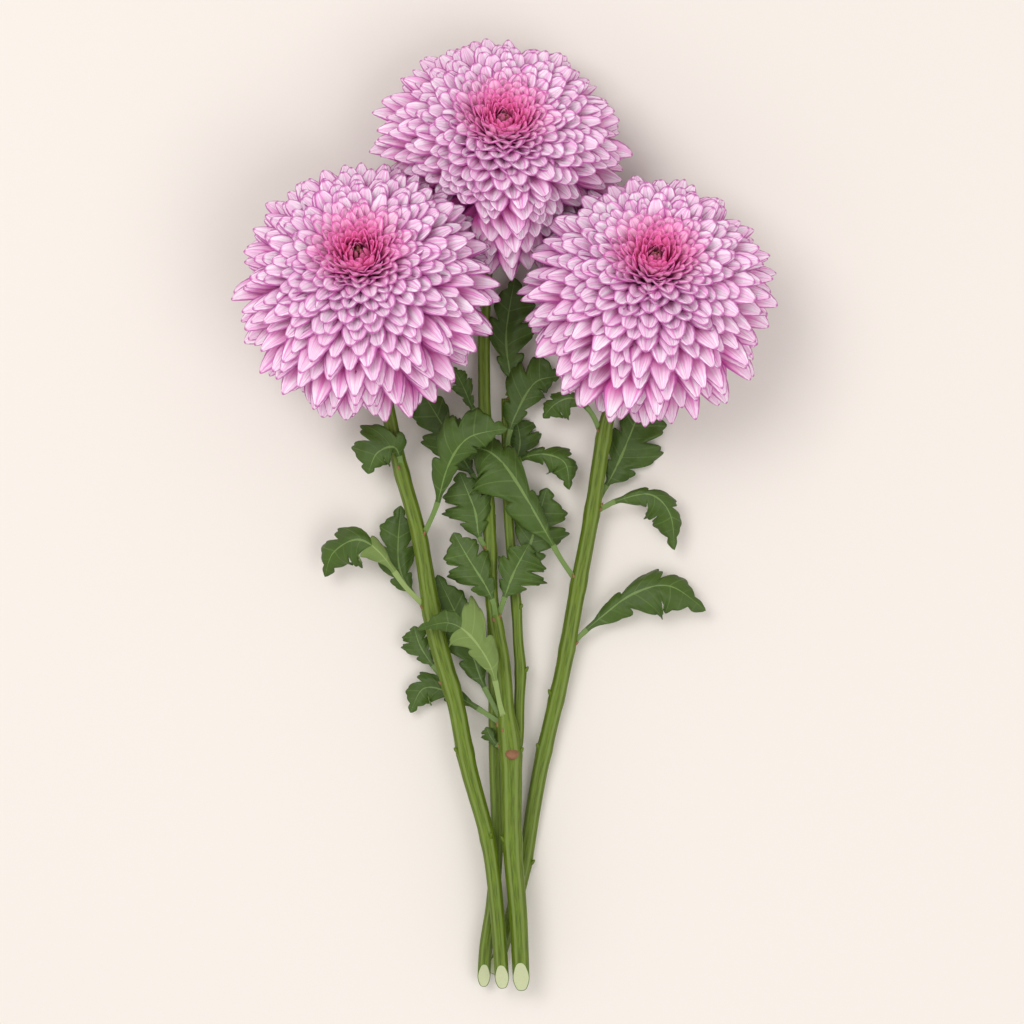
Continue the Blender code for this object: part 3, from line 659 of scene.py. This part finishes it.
def leaf_material(name, ground, dark, vein, vein_strength, roughness):
    """A leaf surface: pale midrib and side veins drawn from the blade's own map, and blotchy tissue, whose
    blotches are partly the leaf's own uneven tone and partly painted mottled highlight and shade.
    """
    made, shader = new_material(name, Roughness=roughness, IOR=1.36)
    place = add(made, "ShaderNodeUVMap", {"uv_map": "blade"})
    split = add(made, "ShaderNodeSeparateXYZ", None, {"Vector": place.outputs["UV"]})
    centred = add(made, "ShaderNodeMath", {"operation": "SUBTRACT", 1: 0.5}, {0: split.outputs["Y"]})
    away = add(made, "ShaderNodeMath", {"operation": "ABSOLUTE"}, {0: centred.outputs[0]})
    # The midrib narrows from the petiole to the tip.
    taper = add(made, "ShaderNodeMapRange",
                {"From Min": 0.15, "From Max": 1.0, "To Min": 0.035, "To Max": 0.008},
                {"Value": split.outputs["X"]})
    midrib = add(made, "ShaderNodeMath", {"operation": "LESS_THAN"},
                 {0: away.outputs[0], 1: taper.outputs[0]})
    petiole = add(made, "ShaderNodeMath", {"operation": "LESS_THAN", 1: PETIOLE_SHARE + 0.02},
                  {0: split.outputs["X"]})
    # A side vein runs out to each lobe, and finer ones between them.
    lobe_pitch = (1 - PETIOLE_SHARE) / LOBES
    shifted = add(made, "ShaderNodeMath", {"operation": "SUBTRACT", 1: PETIOLE_SHARE + 0.4 * lobe_pitch},
                  {0: split.outputs["X"]})
    side = add(made, "ShaderNodeMath", {"operation": "PINGPONG", 1: lobe_pitch / 2},
               {0: shifted.outputs[0]})
    side_vein = add(made, "ShaderNodeMapRange",
                    {"From Min": 0.001, "From Max": 0.007, "To Min": 0.4, "To Max": 0.0},
                    {"Value": side.outputs[0]})
    fine = add(made, "ShaderNodeMath", {"operation": "PINGPONG", 1: lobe_pitch / 6},
               {0: shifted.outputs[0]})
    fine_vein = add(made, "ShaderNodeMapRange",
                    {"From Min": 0.0, "From Max": 0.006, "To Min": 0.18, "To Max": 0.0},
                    {"Value": fine.outputs[0]})
    veins = add(made, "ShaderNodeMath", {"operation": "MAXIMUM"},
                {0: midrib.outputs[0], 1: side_vein.outputs[0]})
    veins = add(made, "ShaderNodeMath", {"operation": "MAXIMUM"},
                {0: veins.outputs[0], 1: petiole.outputs[0]})
    veins = add(made, "ShaderNodeMath", {"operation": "MAXIMUM"},
                {0: veins.outputs[0], 1: fine_vein.outputs[0]})
    object_at = add(made, "ShaderNodeTexCoord")
    # Blotches between the dark and ground colours: partly the leaf's own uneven tone, partly painted
    # mottled highlight and shade.
    blotch_and_sheen = add(made, "ShaderNodeTexNoise", {"Scale": LEAF_BLOTCH_AND_SHEEN_GRAIN, "Detail": 5.0},
                 {"Vector": object_at.outputs["Object"]})
    tissue = add(made, "ShaderNodeMixRGB", {"Color1": linear(dark), "Color2": linear(ground)},
                 {"Fac": blotch_and_sheen.outputs["Fac"]})
    strength = add(made, "ShaderNodeMath", {"operation": "MULTIPLY", 1: vein_strength},
                   {0: veins.outputs[0]})
    colour = add(made, "ShaderNodeMixRGB", {"Color2": linear(vein)},
                 {"Fac": strength.outputs[0], "Color1": tissue.outputs["Color"]})
    connect(made, colour.outputs["Color"], shader, "Base Color")
    # Veins lie in furrows, and the tissue between them is puffed up in small cells.
    puff = add(made, "ShaderNodeTexVoronoi", {"Scale": LEAF_PUFFS},
               {"Vector": object_at.outputs["Object"]})
    height = add(made, "ShaderNodeMath", {"operation": "SUBTRACT"},
                 {0: puff.outputs["Distance"], 1: veins.outputs[0]})
    bump = add(made, "ShaderNodeBump", {"Strength": 0.35, "Distance": 0.3 * MM},
               {"Height": height.outputs[0]})
    connect(made, bump.outputs["Normal"], shader, "Normal")
    return made


leaf_face = leaf_material(
    "dark leaf upper face, soft matt", LEAF_COLOUR, LEAF_BLOTCH_AND_SHADE_COLOUR, VEIN_COLOUR, 0.6, 0.5,
)
leaf_back = leaf_material(
    "leaf underside, downy", LEAF_BACK_COLOUR, LEAF_BACK_COLOUR, LEAF_BACK_VEIN_COLOUR, 0.8, 0.7,
)

for seed, (name, leaf) in enumerate(LEAVES.items()):
    add_leaf(name, leaf, seed)


# --- Petals ---------------------------------------------------------------------------------------
# Each bloom is a ball of about five hundred strap-shaped ray petals, set in spirals on the knob: short
# and rose-red in the heart, spoon-shaped around it, and longer and more pointed towards the back.

# The groups of petals, with the angles from the bloom's axis between which each one grows.
GROUPS = [
    ("heart", 0, 22), ("inner_petals", 22, 44), ("upper_petals", 44, 68),
    ("middle_petals", 68, 92), ("lower_petals", 92, 116), ("back_petals", 116, 180),
]
GOLDEN_TURN = math.pi * (3 - math.sqrt(5))
TURN_UNEVEN = 0.09  # radians that a petal may stand off its place in the spiral
PETAL_SEED = 40
LAST_PETAL = 132.0  # degrees from the bloom's axis to the backmost petals
CRATER = 0.07  # how deep the heart is sunk, of the bloom's radius
CRATER_WIDTH = 22.0  # degrees
PETAL_ROWS = 9
PETAL_COLUMNS = 4
PETAL_THICKNESS = 0.35
PETAL_BASE_RADIUS = KNOB_RADIUS + 0.4
PRESS_LEAN = 25.0  # degrees that the plane between two blooms leans over the lower one
PRESS_AT = 0.95  # where that plane stands, of the upper bloom's radius
SOFT = 1.5 * MM  # over how long a petal's edge gives way before such a plane
DIG_IN = 8.0 * MM  # how far the lower bloom's petals reach in between those of the upper one
OFF_SURFACE = 0.4 * MM  # petals stop this far above the surface that the bunch lies on
LEAST_KEPT = 0.6  # a petal with less than this share of its length left would be hidden, and isn't made
# How far each head of petals hangs off its calyx.
NODS = {"left": (0.0, 0.0, 0.0), "right": (0.0, 0.0, 0.0), "centre": (0.0, -3.0, 0.0)}
# How much of the surface each petal has, in square millimetres, at these angles from the axis.
PETAL_ROOM = [(0, 7), (8, 12), (20, 23), (35, 42), (60, 66), (90, 98), (135, 130)]
# Half of a petal's width, in millimetres, at these angles.
PETAL_WIDTH = [(0, 1.1), (8, 1.9), (18, 3.2), (35, 4.2), (60, 4.8), (90, 5.3), (135, 5.4)]
# How far a tip stands out past the ball and how uneven that is, both of its radius, and how many degrees
# the petal bends back.
PETAL_LONGER = [(0, 0), (60, 0), (85, 0.02), (135, 0.0)]
PETAL_UNEVEN = [(0, 0.02), (60, 0.035), (85, 0.06), (135, 0.08)]
PETAL_BEND = [(0, -18), (8, -3), (18, 18), (32, 42), (60, 50), (90, 42), (135, 34)]
# How much it is cupped, where its tip starts, how blunt the tip is, how fast it tapers and how it hooks.
# The petals on the lower side of a bloom are wider and sharper, by LOWER_WIDER and LOWER_SHARPER.
PETAL_CUP = [(0, 0.8), (20, 0.5), (60, 0.36), (135, 0.32)]
PETAL_SHOULDER = [(0, 0.78), (40, 0.83), (58, 0.79), (68, 0.71), (135, 0.62)]
PETAL_BLUNT = [(0, 2.4), (50, 2.2), (58, 1.9), (68, 1.5), (135, 1.3)]
PETAL_TAPER = [(0, 0.62), (54, 0.64), (68, 0.74), (135, 0.80)]
PETAL_HOOK = [(0, 1.4), (25, 1.4), (60, 1.2), (100, 0.5), (135, 0)]
LOWER_WIDER = 0.15
LOWER_SHARPER = 0.15
PETAL_LEAN = 0.42  # how far before its tip a petal has bent, of its length
PETAL_FOOT = 0.35  # half the width where it grows from the knob
PETAL_END = 0.05  # of its width, at the very tip
SIDE_TROUGHS = 0.12  # depth of the two shallow troughs along it, of its half width
LEAST_BLUNT = 1.05
# How one petal differs from the next: ranges in shares, degrees for its bend, radians for its twist and
# millimetres for how far its tip stands to one side.
LENGTH_RANGE = (-1.4, 0.6)
BEND_RANGE = (-9, 9)
WIDTH_RANGE = (0.88, 1.1)
CUP_RANGE = (0.6, 1.4)
BLUNT_RANGE = (0.9, 1.15)
HOOK_RANGE = (0.2, 1.8)
TWIST_RANGE = (-0.3, 0.3)
SKEW_RANGE = (-0.7, 0.7)
# The feet stand closer together on the knob than the tips do on the ball, in degrees from the axis.
FOOT_CROWDING = 0.9
FIRST_FOOT = 6
LAST_FOOT = 112
# Below the heart the smallest petals open paler: by how much, and where and over how many degrees.
PALE_LIP = 0.3
PALE_LIP_AT = 20
PALE_LIP_WIDTH = 12
ROW_CROWDING = 2.0  # how much closer a petal's rows lie at its tip than at its base
PETAL_GLOW_DEPTH = 2.0  # how far light spreads in it
PETAL_PALE_COLOUR = "FFECFB"
PETAL_UNDER_COLOUR = "FFF0FC"
PETAL_VEIL_COLOUR = "FCDCF4"
PETAL_COLOUR = "F08CD2"
# Painted shade for the crevices between petals, laid over each petal's hidden base.
PETAL_CREVICE_SHADE_COLOUR = "E45EB2"
PETAL_EDGE_COLOUR = "AC3A94"
PETAL_HEART_COLOUR = "FA6AB2"
# Painted shade over the hidden base of a petal's underside, fainter than on its face.
PETAL_BACK_CREVICE_SHADE_COLOUR = "FAD2EE"
EYE_COLOUR = "6A4420"


def between(table, at):
    """The value at this place in a table of (place, value), on straight lines between its rows."""
    for (a, low), (b, high) in zip(table, table[1:]):
        if at <= b:
            return low + (high - low) * (at - a) / (b - a)
    return table[-1][1]


def ball_radius(bloom, angle):
    """From the bloom's centre to its petal tips, at this angle from the axis."""
    depth = bloom["front"] if angle < math.pi / 2 else bloom["back"]
    share = 1 / math.sqrt(math.sin(angle) ** 2 + (math.cos(angle) / depth) ** 2)
    crater = CRATER * math.exp(-((math.degrees(angle) / CRATER_WIDTH) ** 2))
    return bloom["radius"] * MM * (share - crater)


def press_planes(name):
    """The surface that a bloom lies on and the planes where it meets its neighbours, each as a point and
    the way out of the bloom."""
    mine = Vector(BLOOMS[name]["centre"]) * MM
    planes = [(Vector((0, 0, OFF_SURFACE)), Vector((0, 0, -1)))]
    for other_name, other in BLOOMS.items():
        theirs = Vector(other["centre"]) * MM
        # The left and right blooms only meet the centre one.
        if other_name == name or "centre" not in (name, other_name):
            continue
        above, below = (name, other_name) if mine.z > theirs.z else (other_name, name)
        upper_at = Vector(BLOOMS[above]["centre"]) * MM
        between_them = Vector(BLOOMS[below]["centre"]) * MM - upper_at
        flat = Vector((between_them.x, between_them.y, 0)).normalized()
        lean = math.radians(PRESS_LEAN)
        out = flat * math.cos(lean) - Vector((0, 0, 1)) * math.sin(lean)
        on_plane = upper_at + out * PRESS_AT * BLOOMS[above]["radius"] * MM
        planes.append((on_plane, out) if name == above else (on_plane - out * DIG_IN, -out))
    return planes


def reach_before(planes, base, tip):
    """The share of the way from base to tip that stays in front of all the planes."""
    share = 1.0
    for on_plane, out in planes:
        start, end = (base - on_plane).dot(out), (tip - on_plane).dot(out)
        if end > 0 > start:
            share = min(share, start / (start - end))
    return share


def pressed(point, planes):
    """The point, or where a soft petal edge ends up that would have gone through a plane."""
    for on_plane, out in planes:
        beyond = (point - on_plane).dot(out) + SOFT
        if beyond > 0:
            point = point + out * (SOFT * (1 - math.exp(-beyond / SOFT)) - beyond)
    return point


def add_petal(bm, bloom, planes, matrix, angle, turn, layers):
    """One petal: a strip from the knob to its place on the ball, troughed along its middle."""
    places, tone, far = layers
    degrees = math.degrees(angle)
    out_turn = Matrix.Rotation(turn, 3, "Z")
    seat = Vector((0, 0, -seat_depth(bloom)))
    base_angle = min(angle * FOOT_CROWDING + math.radians(FIRST_FOOT), math.radians(LAST_FOOT))
    base = seat + around(PETAL_BASE_RADIUS * MM, base_angle)
    uneven = between(PETAL_UNEVEN, degrees)
    longer = random.uniform(*LENGTH_RANGE) * uneven + between(PETAL_LONGER, degrees)
    tip = around(ball_radius(bloom, angle) * (1 + longer), angle)
    kept = reach_before(planes, matrix @ (out_turn @ base), matrix @ (out_turn @ tip))
    if kept < LEAST_KEPT:
        return
    tip = base.lerp(tip, kept)
    bend = between(PETAL_BEND, degrees) + random.uniform(*BEND_RANGE)
    heading = around(1.0, angle + math.radians(bend))
    lean = tip - heading * (PETAL_LEAN * (tip - base).length)
    lower = max(0.0, (out_turn @ Vector((1, 0, 0))).y * -1)
    width = MM * between(PETAL_WIDTH, degrees) * random.uniform(*WIDTH_RANGE)
    width *= 1 + LOWER_WIDER * lower
    cup = between(PETAL_CUP, degrees) * random.uniform(*CUP_RANGE)
    # Round tips in front, pointed ones behind and below.
    shoulder = between(PETAL_SHOULDER, degrees)
    tapered = between(PETAL_TAPER, degrees)
    blunt = max(between(PETAL_BLUNT, degrees) - LOWER_SHARPER * lower, LEAST_BLUNT)
    blunt *= random.uniform(*BLUNT_RANGE)
    hook = between(PETAL_HOOK, degrees) * random.uniform(*HOOK_RANGE)
    twist = random.uniform(*TWIST_RANGE)
    skew = random.uniform(*SKEW_RANGE) * MM
    shade = random.random()
    # The pale petals below the heart count as further out than they are.
    lip = PALE_LIP * lower * math.exp(-((degrees - PALE_LIP_AT) / PALE_LIP_WIDTH) ** 2)
    openness = degrees / 180 * (1 + lip)
    grid = bmesh.ops.create_grid(bm, x_segments=PETAL_ROWS, y_segments=PETAL_COLUMNS, size=1.0)
    verts = grid["verts"]
    for face in {f for v in verts for f in v.link_faces}:
        for loop in face.loops:
            row = (loop.vert.co.x + 1) / 2
            loop[places].uv = ((loop.vert.co.y + 1) / 2, 1 - (1 - row) ** ROW_CROWDING)
    for vert in verts:
        along = 1 - (1 - (vert.co.x + 1) / 2) ** ROW_CROWDING
        across = vert.co.y
        point = base * (1 - along) ** 2 + lean * 2 * along * (1 - along) + tip * along**2
        way = ((lean - base) * (1 - along) + (tip - lean) * along).normalized()
        up = Vector((-way.z, 0, way.x))
        wide = PETAL_FOOT * MM + (width - PETAL_FOOT * MM) * min(1.0, along / shoulder) ** 0.9
        last = max(0.0, (along - shoulder) / (1 - shoulder))
        wide *= PETAL_END + (1 - PETAL_END) * max(0.0, 1 - last**blunt) ** tapered
        turned = twist * along
        lift = cup * wide * across**2 - SIDE_TROUGHS * wide * math.cos(2 * math.pi * across)
        lift += hook * MM * last**2
        sway = skew * along**3
        offset = Vector((0, across * wide * math.cos(turned) + sway, 0))
        offset += up * (across * wide * math.sin(turned) + lift)
        vert.co = pressed(matrix @ (out_turn @ (point + offset)), planes)
        vert[tone] = shade
        vert[far] = openness


# Petals: thin living tissue that lets some light through. Pale with fine pink streaks along it, outlined
# in magenta at the margin, deep pink towards its base as painted shade in the crevices between petals,
# and deeper towards the heart of the bloom.
def petal_material(name, pale, middle, deep, edge, roughness):
    """One side of a petal, drawn along and across it from the petal's own map, with deep as painted shade
    over its hidden base.
    """
    made, shader = new_material(
        name, Roughness=roughness, IOR=1.38, Subsurface_Weight=0.4, Subsurface_Radius=(1.0, 0.85, 0.95),
        Subsurface_Scale=PETAL_GLOW_DEPTH * MM,
    )
    place = add(made, "ShaderNodeUVMap", {"uv_map": "petal"})
    split = add(made, "ShaderNodeSeparateXYZ", None, {"Vector": place.outputs["UV"]})
    tone_at = add(made, "ShaderNodeAttribute", {"attribute_name": "tone"})
    far_at = add(made, "ShaderNodeAttribute", {"attribute_name": "far"})
    # About nine streaks across a petal, so up to 1 mm wide, and each petal has its own.
    own = add(made, "ShaderNodeMath", {"operation": "MULTIPLY", 1: 37.0}, {0: tone_at.outputs["Fac"]})
    spread = add(made, "ShaderNodeCombineXYZ", None,
                 {"X": split.outputs["X"], "Y": split.outputs["Y"], "Z": own.outputs[0]})
    scaled = add(made, "ShaderNodeMapping", {"Scale": (9.0, 1.1, 1.0)},
                 {"Vector": spread.outputs["Vector"]})
    streaks = add(made, "ShaderNodeTexNoise", {"Scale": 1.0, "Detail": 3.0, "Roughness": 0.6},
                  {"Vector": scaled.outputs["Vector"]})
    # Along the petal: deep over its hidden part, as painted shade in the crevices between petals, pale
    # over the part that shows.
    crevice_shade_fade = add(made, "ShaderNodeMapRange",
                    {"From Min": 0.62, "From Max": 0.88, "To Min": 1.0, "To Max": 0.0},
                    {"Value": split.outputs["Y"]})
    streak_share = add(made, "ShaderNodeMapRange",
                       {"From Min": 0.40, "From Max": 0.66, "To Min": 0.0, "To Max": 1.0},
                       {"Value": streaks.outputs["Fac"]})
    ground = add(made, "ShaderNodeMixRGB", {"Color1": linear(pale), "Color2": linear(middle)},
                 {"Fac": streak_share.outputs[0]})
    crevice_shaded = add(made, "ShaderNodeMixRGB", {"Color2": linear(deep)},
                {"Fac": crevice_shade_fade.outputs[0], "Color1": ground.outputs["Color"]})
    # The margin: a thin darker line, and a darker point at the tip.
    centred = add(made, "ShaderNodeMath", {"operation": "SUBTRACT", 1: 0.5}, {0: split.outputs["X"]})
    away = add(made, "ShaderNodeMath", {"operation": "ABSOLUTE"}, {0: centred.outputs[0]})
    margin = add(made, "ShaderNodeMapRange",
                 {"From Min": 0.38, "From Max": 0.455, "To Min": 0.0, "To Max": 1.0},
                 {"Value": away.outputs[0]})
    tip = add(made, "ShaderNodeMapRange",
              {"From Min": 0.970, "From Max": 0.988, "To Min": 0.0, "To Max": 1.0},
              {"Value": split.outputs["Y"]})
    rim = add(made, "ShaderNodeMath", {"operation": "MAXIMUM"},
              {0: margin.outputs[0], 1: tip.outputs[0]})
    rim_soft = add(made, "ShaderNodeMath", {"operation": "MULTIPLY", 1: 0.85}, {0: rim.outputs[0]})
    edged = add(made, "ShaderNodeMixRGB", {"Color2": linear(edge)},
                {"Fac": rim_soft.outputs[0], "Color1": crevice_shaded.outputs["Color"]})
    # Towards the heart the whole petal turns rose, and the very middle is brown.
    heart = add(made, "ShaderNodeMapRange",
                {"From Min": 0.05, "From Max": 0.20, "To Min": 0.9, "To Max": 0.0},
                {"Value": far_at.outputs["Fac"]})
    rosy = add(made, "ShaderNodeMixRGB", {"Color2": linear(PETAL_HEART_COLOUR)},
               {"Fac": heart.outputs[0], "Color1": edged.outputs["Color"]})
    eye = add(made, "ShaderNodeMapRange",
              {"From Min": 0.012, "From Max": 0.045, "To Min": 0.9, "To Max": 0.0},
              {"Value": far_at.outputs["Fac"]})
    final = add(made, "ShaderNodeMixRGB", {"Color2": linear(EYE_COLOUR)},
                {"Fac": eye.outputs[0], "Color1": rosy.outputs["Color"]})
    connect(made, final.outputs["Color"], shader, "Base Color")
    bump = add(made, "ShaderNodeBump", {"Strength": 0.3, "Distance": 0.25 * MM},
               {"Height": streaks.outputs["Fac"]})
    connect(made, bump.outputs["Normal"], shader, "Normal")
    return made


petal_face = petal_material(
    "petal face, satin", PETAL_PALE_COLOUR, PETAL_COLOUR, PETAL_CREVICE_SHADE_COLOUR, PETAL_EDGE_COLOUR, 0.5,
)
petal_back = petal_material(
    "petal underside, duller", PETAL_UNDER_COLOUR, PETAL_VEIL_COLOUR, PETAL_BACK_CREVICE_SHADE_COLOUR,
    PETAL_EDGE_COLOUR, 0.6,
)

for number, (name, bloom) in enumerate(BLOOMS.items()):
    random.seed(PETAL_SEED + number)
    planes = press_planes(name)
    matrix = Matrix.Translation(Vector(NODS[name]) * MM) @ bloom_matrix(bloom)
    # From the heart outwards, each petal takes its own room on the ball.
    spiral = []
    across = 1.0
    while True:
        angle = math.acos(max(-1.0, across))
        if math.degrees(angle) > LAST_PETAL:
            break
        spiral.append(angle)
        across -= between(PETAL_ROOM, math.degrees(angle)) / (2 * math.pi * bloom["radius"] ** 2)
    for group, low, high in GROUPS:
        bm = bmesh.new()
        layers = (bm.loops.layers.uv.new("petal"), bm.verts.layers.float.new("tone"),
                  bm.verts.layers.float.new("far"))
        for i, angle in enumerate(spiral):
            if low <= math.degrees(angle) < high:
                about = i * GOLDEN_TURN + random.uniform(-TURN_UNEVEN, TURN_UNEVEN)
                add_petal(bm, bloom, planes, matrix, angle, about, layers)
        slot = "heart" if group == "heart" else "petal"
        piece = finish_piece(f"{name}_{group}_spiral", bm, [petal_face, petal_back], slot,
                             f"{name}_{group}")
        thicken(piece, "petal", PETAL_THICKNESS)


# --- Surface, light and camera --------------------------------------------------------------------
# The bunch lies on a plain pale surface, seen from straight above, in soft light from two large lamps
# above it and from all round.
FLOOR_COLOUR = "E5DED7"
WORLD_COLOUR = (1.0, 0.985, 0.97, 1.0)
WORLD_STRENGTH = 0.70
FLOOR_HALF = 4.0  # metres
# Each lamp's name, place and side in metres, and watts. They face the lit point, also in metres.
LIGHTS = [("key", (-0.7, 0.55, 1.9), 1.0, 17.0), ("fill", (0.75, -0.65, 1.9), 1.2, 11.5)]
LIT_POINT = (0, 0.03, 0.03)
# The camera's height, the point it stands over and the width that it sees there.
CAMERA_HEIGHT = 2000.0
CAMERA_OVER = (3.15, 1.1)
VIEW_WIDTH = 460.8

bm = bmesh.new()
bmesh.ops.create_grid(bm, x_segments=1, y_segments=1, size=FLOOR_HALF)
floor_mesh = bpy.data.meshes.new("surface")
bm.to_mesh(floor_mesh)
bm.free()
floor = bpy.data.objects.new("surface", floor_mesh)
bpy.context.scene.collection.objects.link(floor)
# Paper: matt, so that it shows only soft shadows.
surface, shader = new_material("plain pale paper", Roughness=0.9)
shader.inputs["Base Color"].default_value = linear(FLOOR_COLOUR)
floor_mesh.materials.append(surface)

world = bpy.data.worlds.new("studio")
world.use_nodes = True
world.node_tree.nodes["Background"].inputs["Color"].default_value = WORLD_COLOUR
world.node_tree.nodes["Background"].inputs["Strength"].default_value = WORLD_STRENGTH
bpy.context.scene.world = world

for name, place, side, power in LIGHTS:
    light = bpy.data.lights.new(name, "AREA")
    light.shape = "SQUARE"
    light.size = side
    light.energy = power
    lamp = bpy.data.objects.new(name, light)
    lamp.location = place
    lamp.rotation_mode = "QUATERNION"
    lamp.rotation_quaternion = (Vector(place) - Vector(LIT_POINT)).to_track_quat("Z", "Y")
    bpy.context.scene.collection.objects.link(lamp)

camera_data = bpy.data.cameras.new("camera")
camera_data.lens = camera_data.sensor_width * CAMERA_HEIGHT / VIEW_WIDTH
camera = bpy.data.objects.new("camera", camera_data)
camera.location = Vector((*CAMERA_OVER, CAMERA_HEIGHT)) * MM
bpy.context.scene.collection.objects.link(camera)
bpy.context.scene.camera = camera
bpy.context.scene.view_settings.view_transform = "Standard"
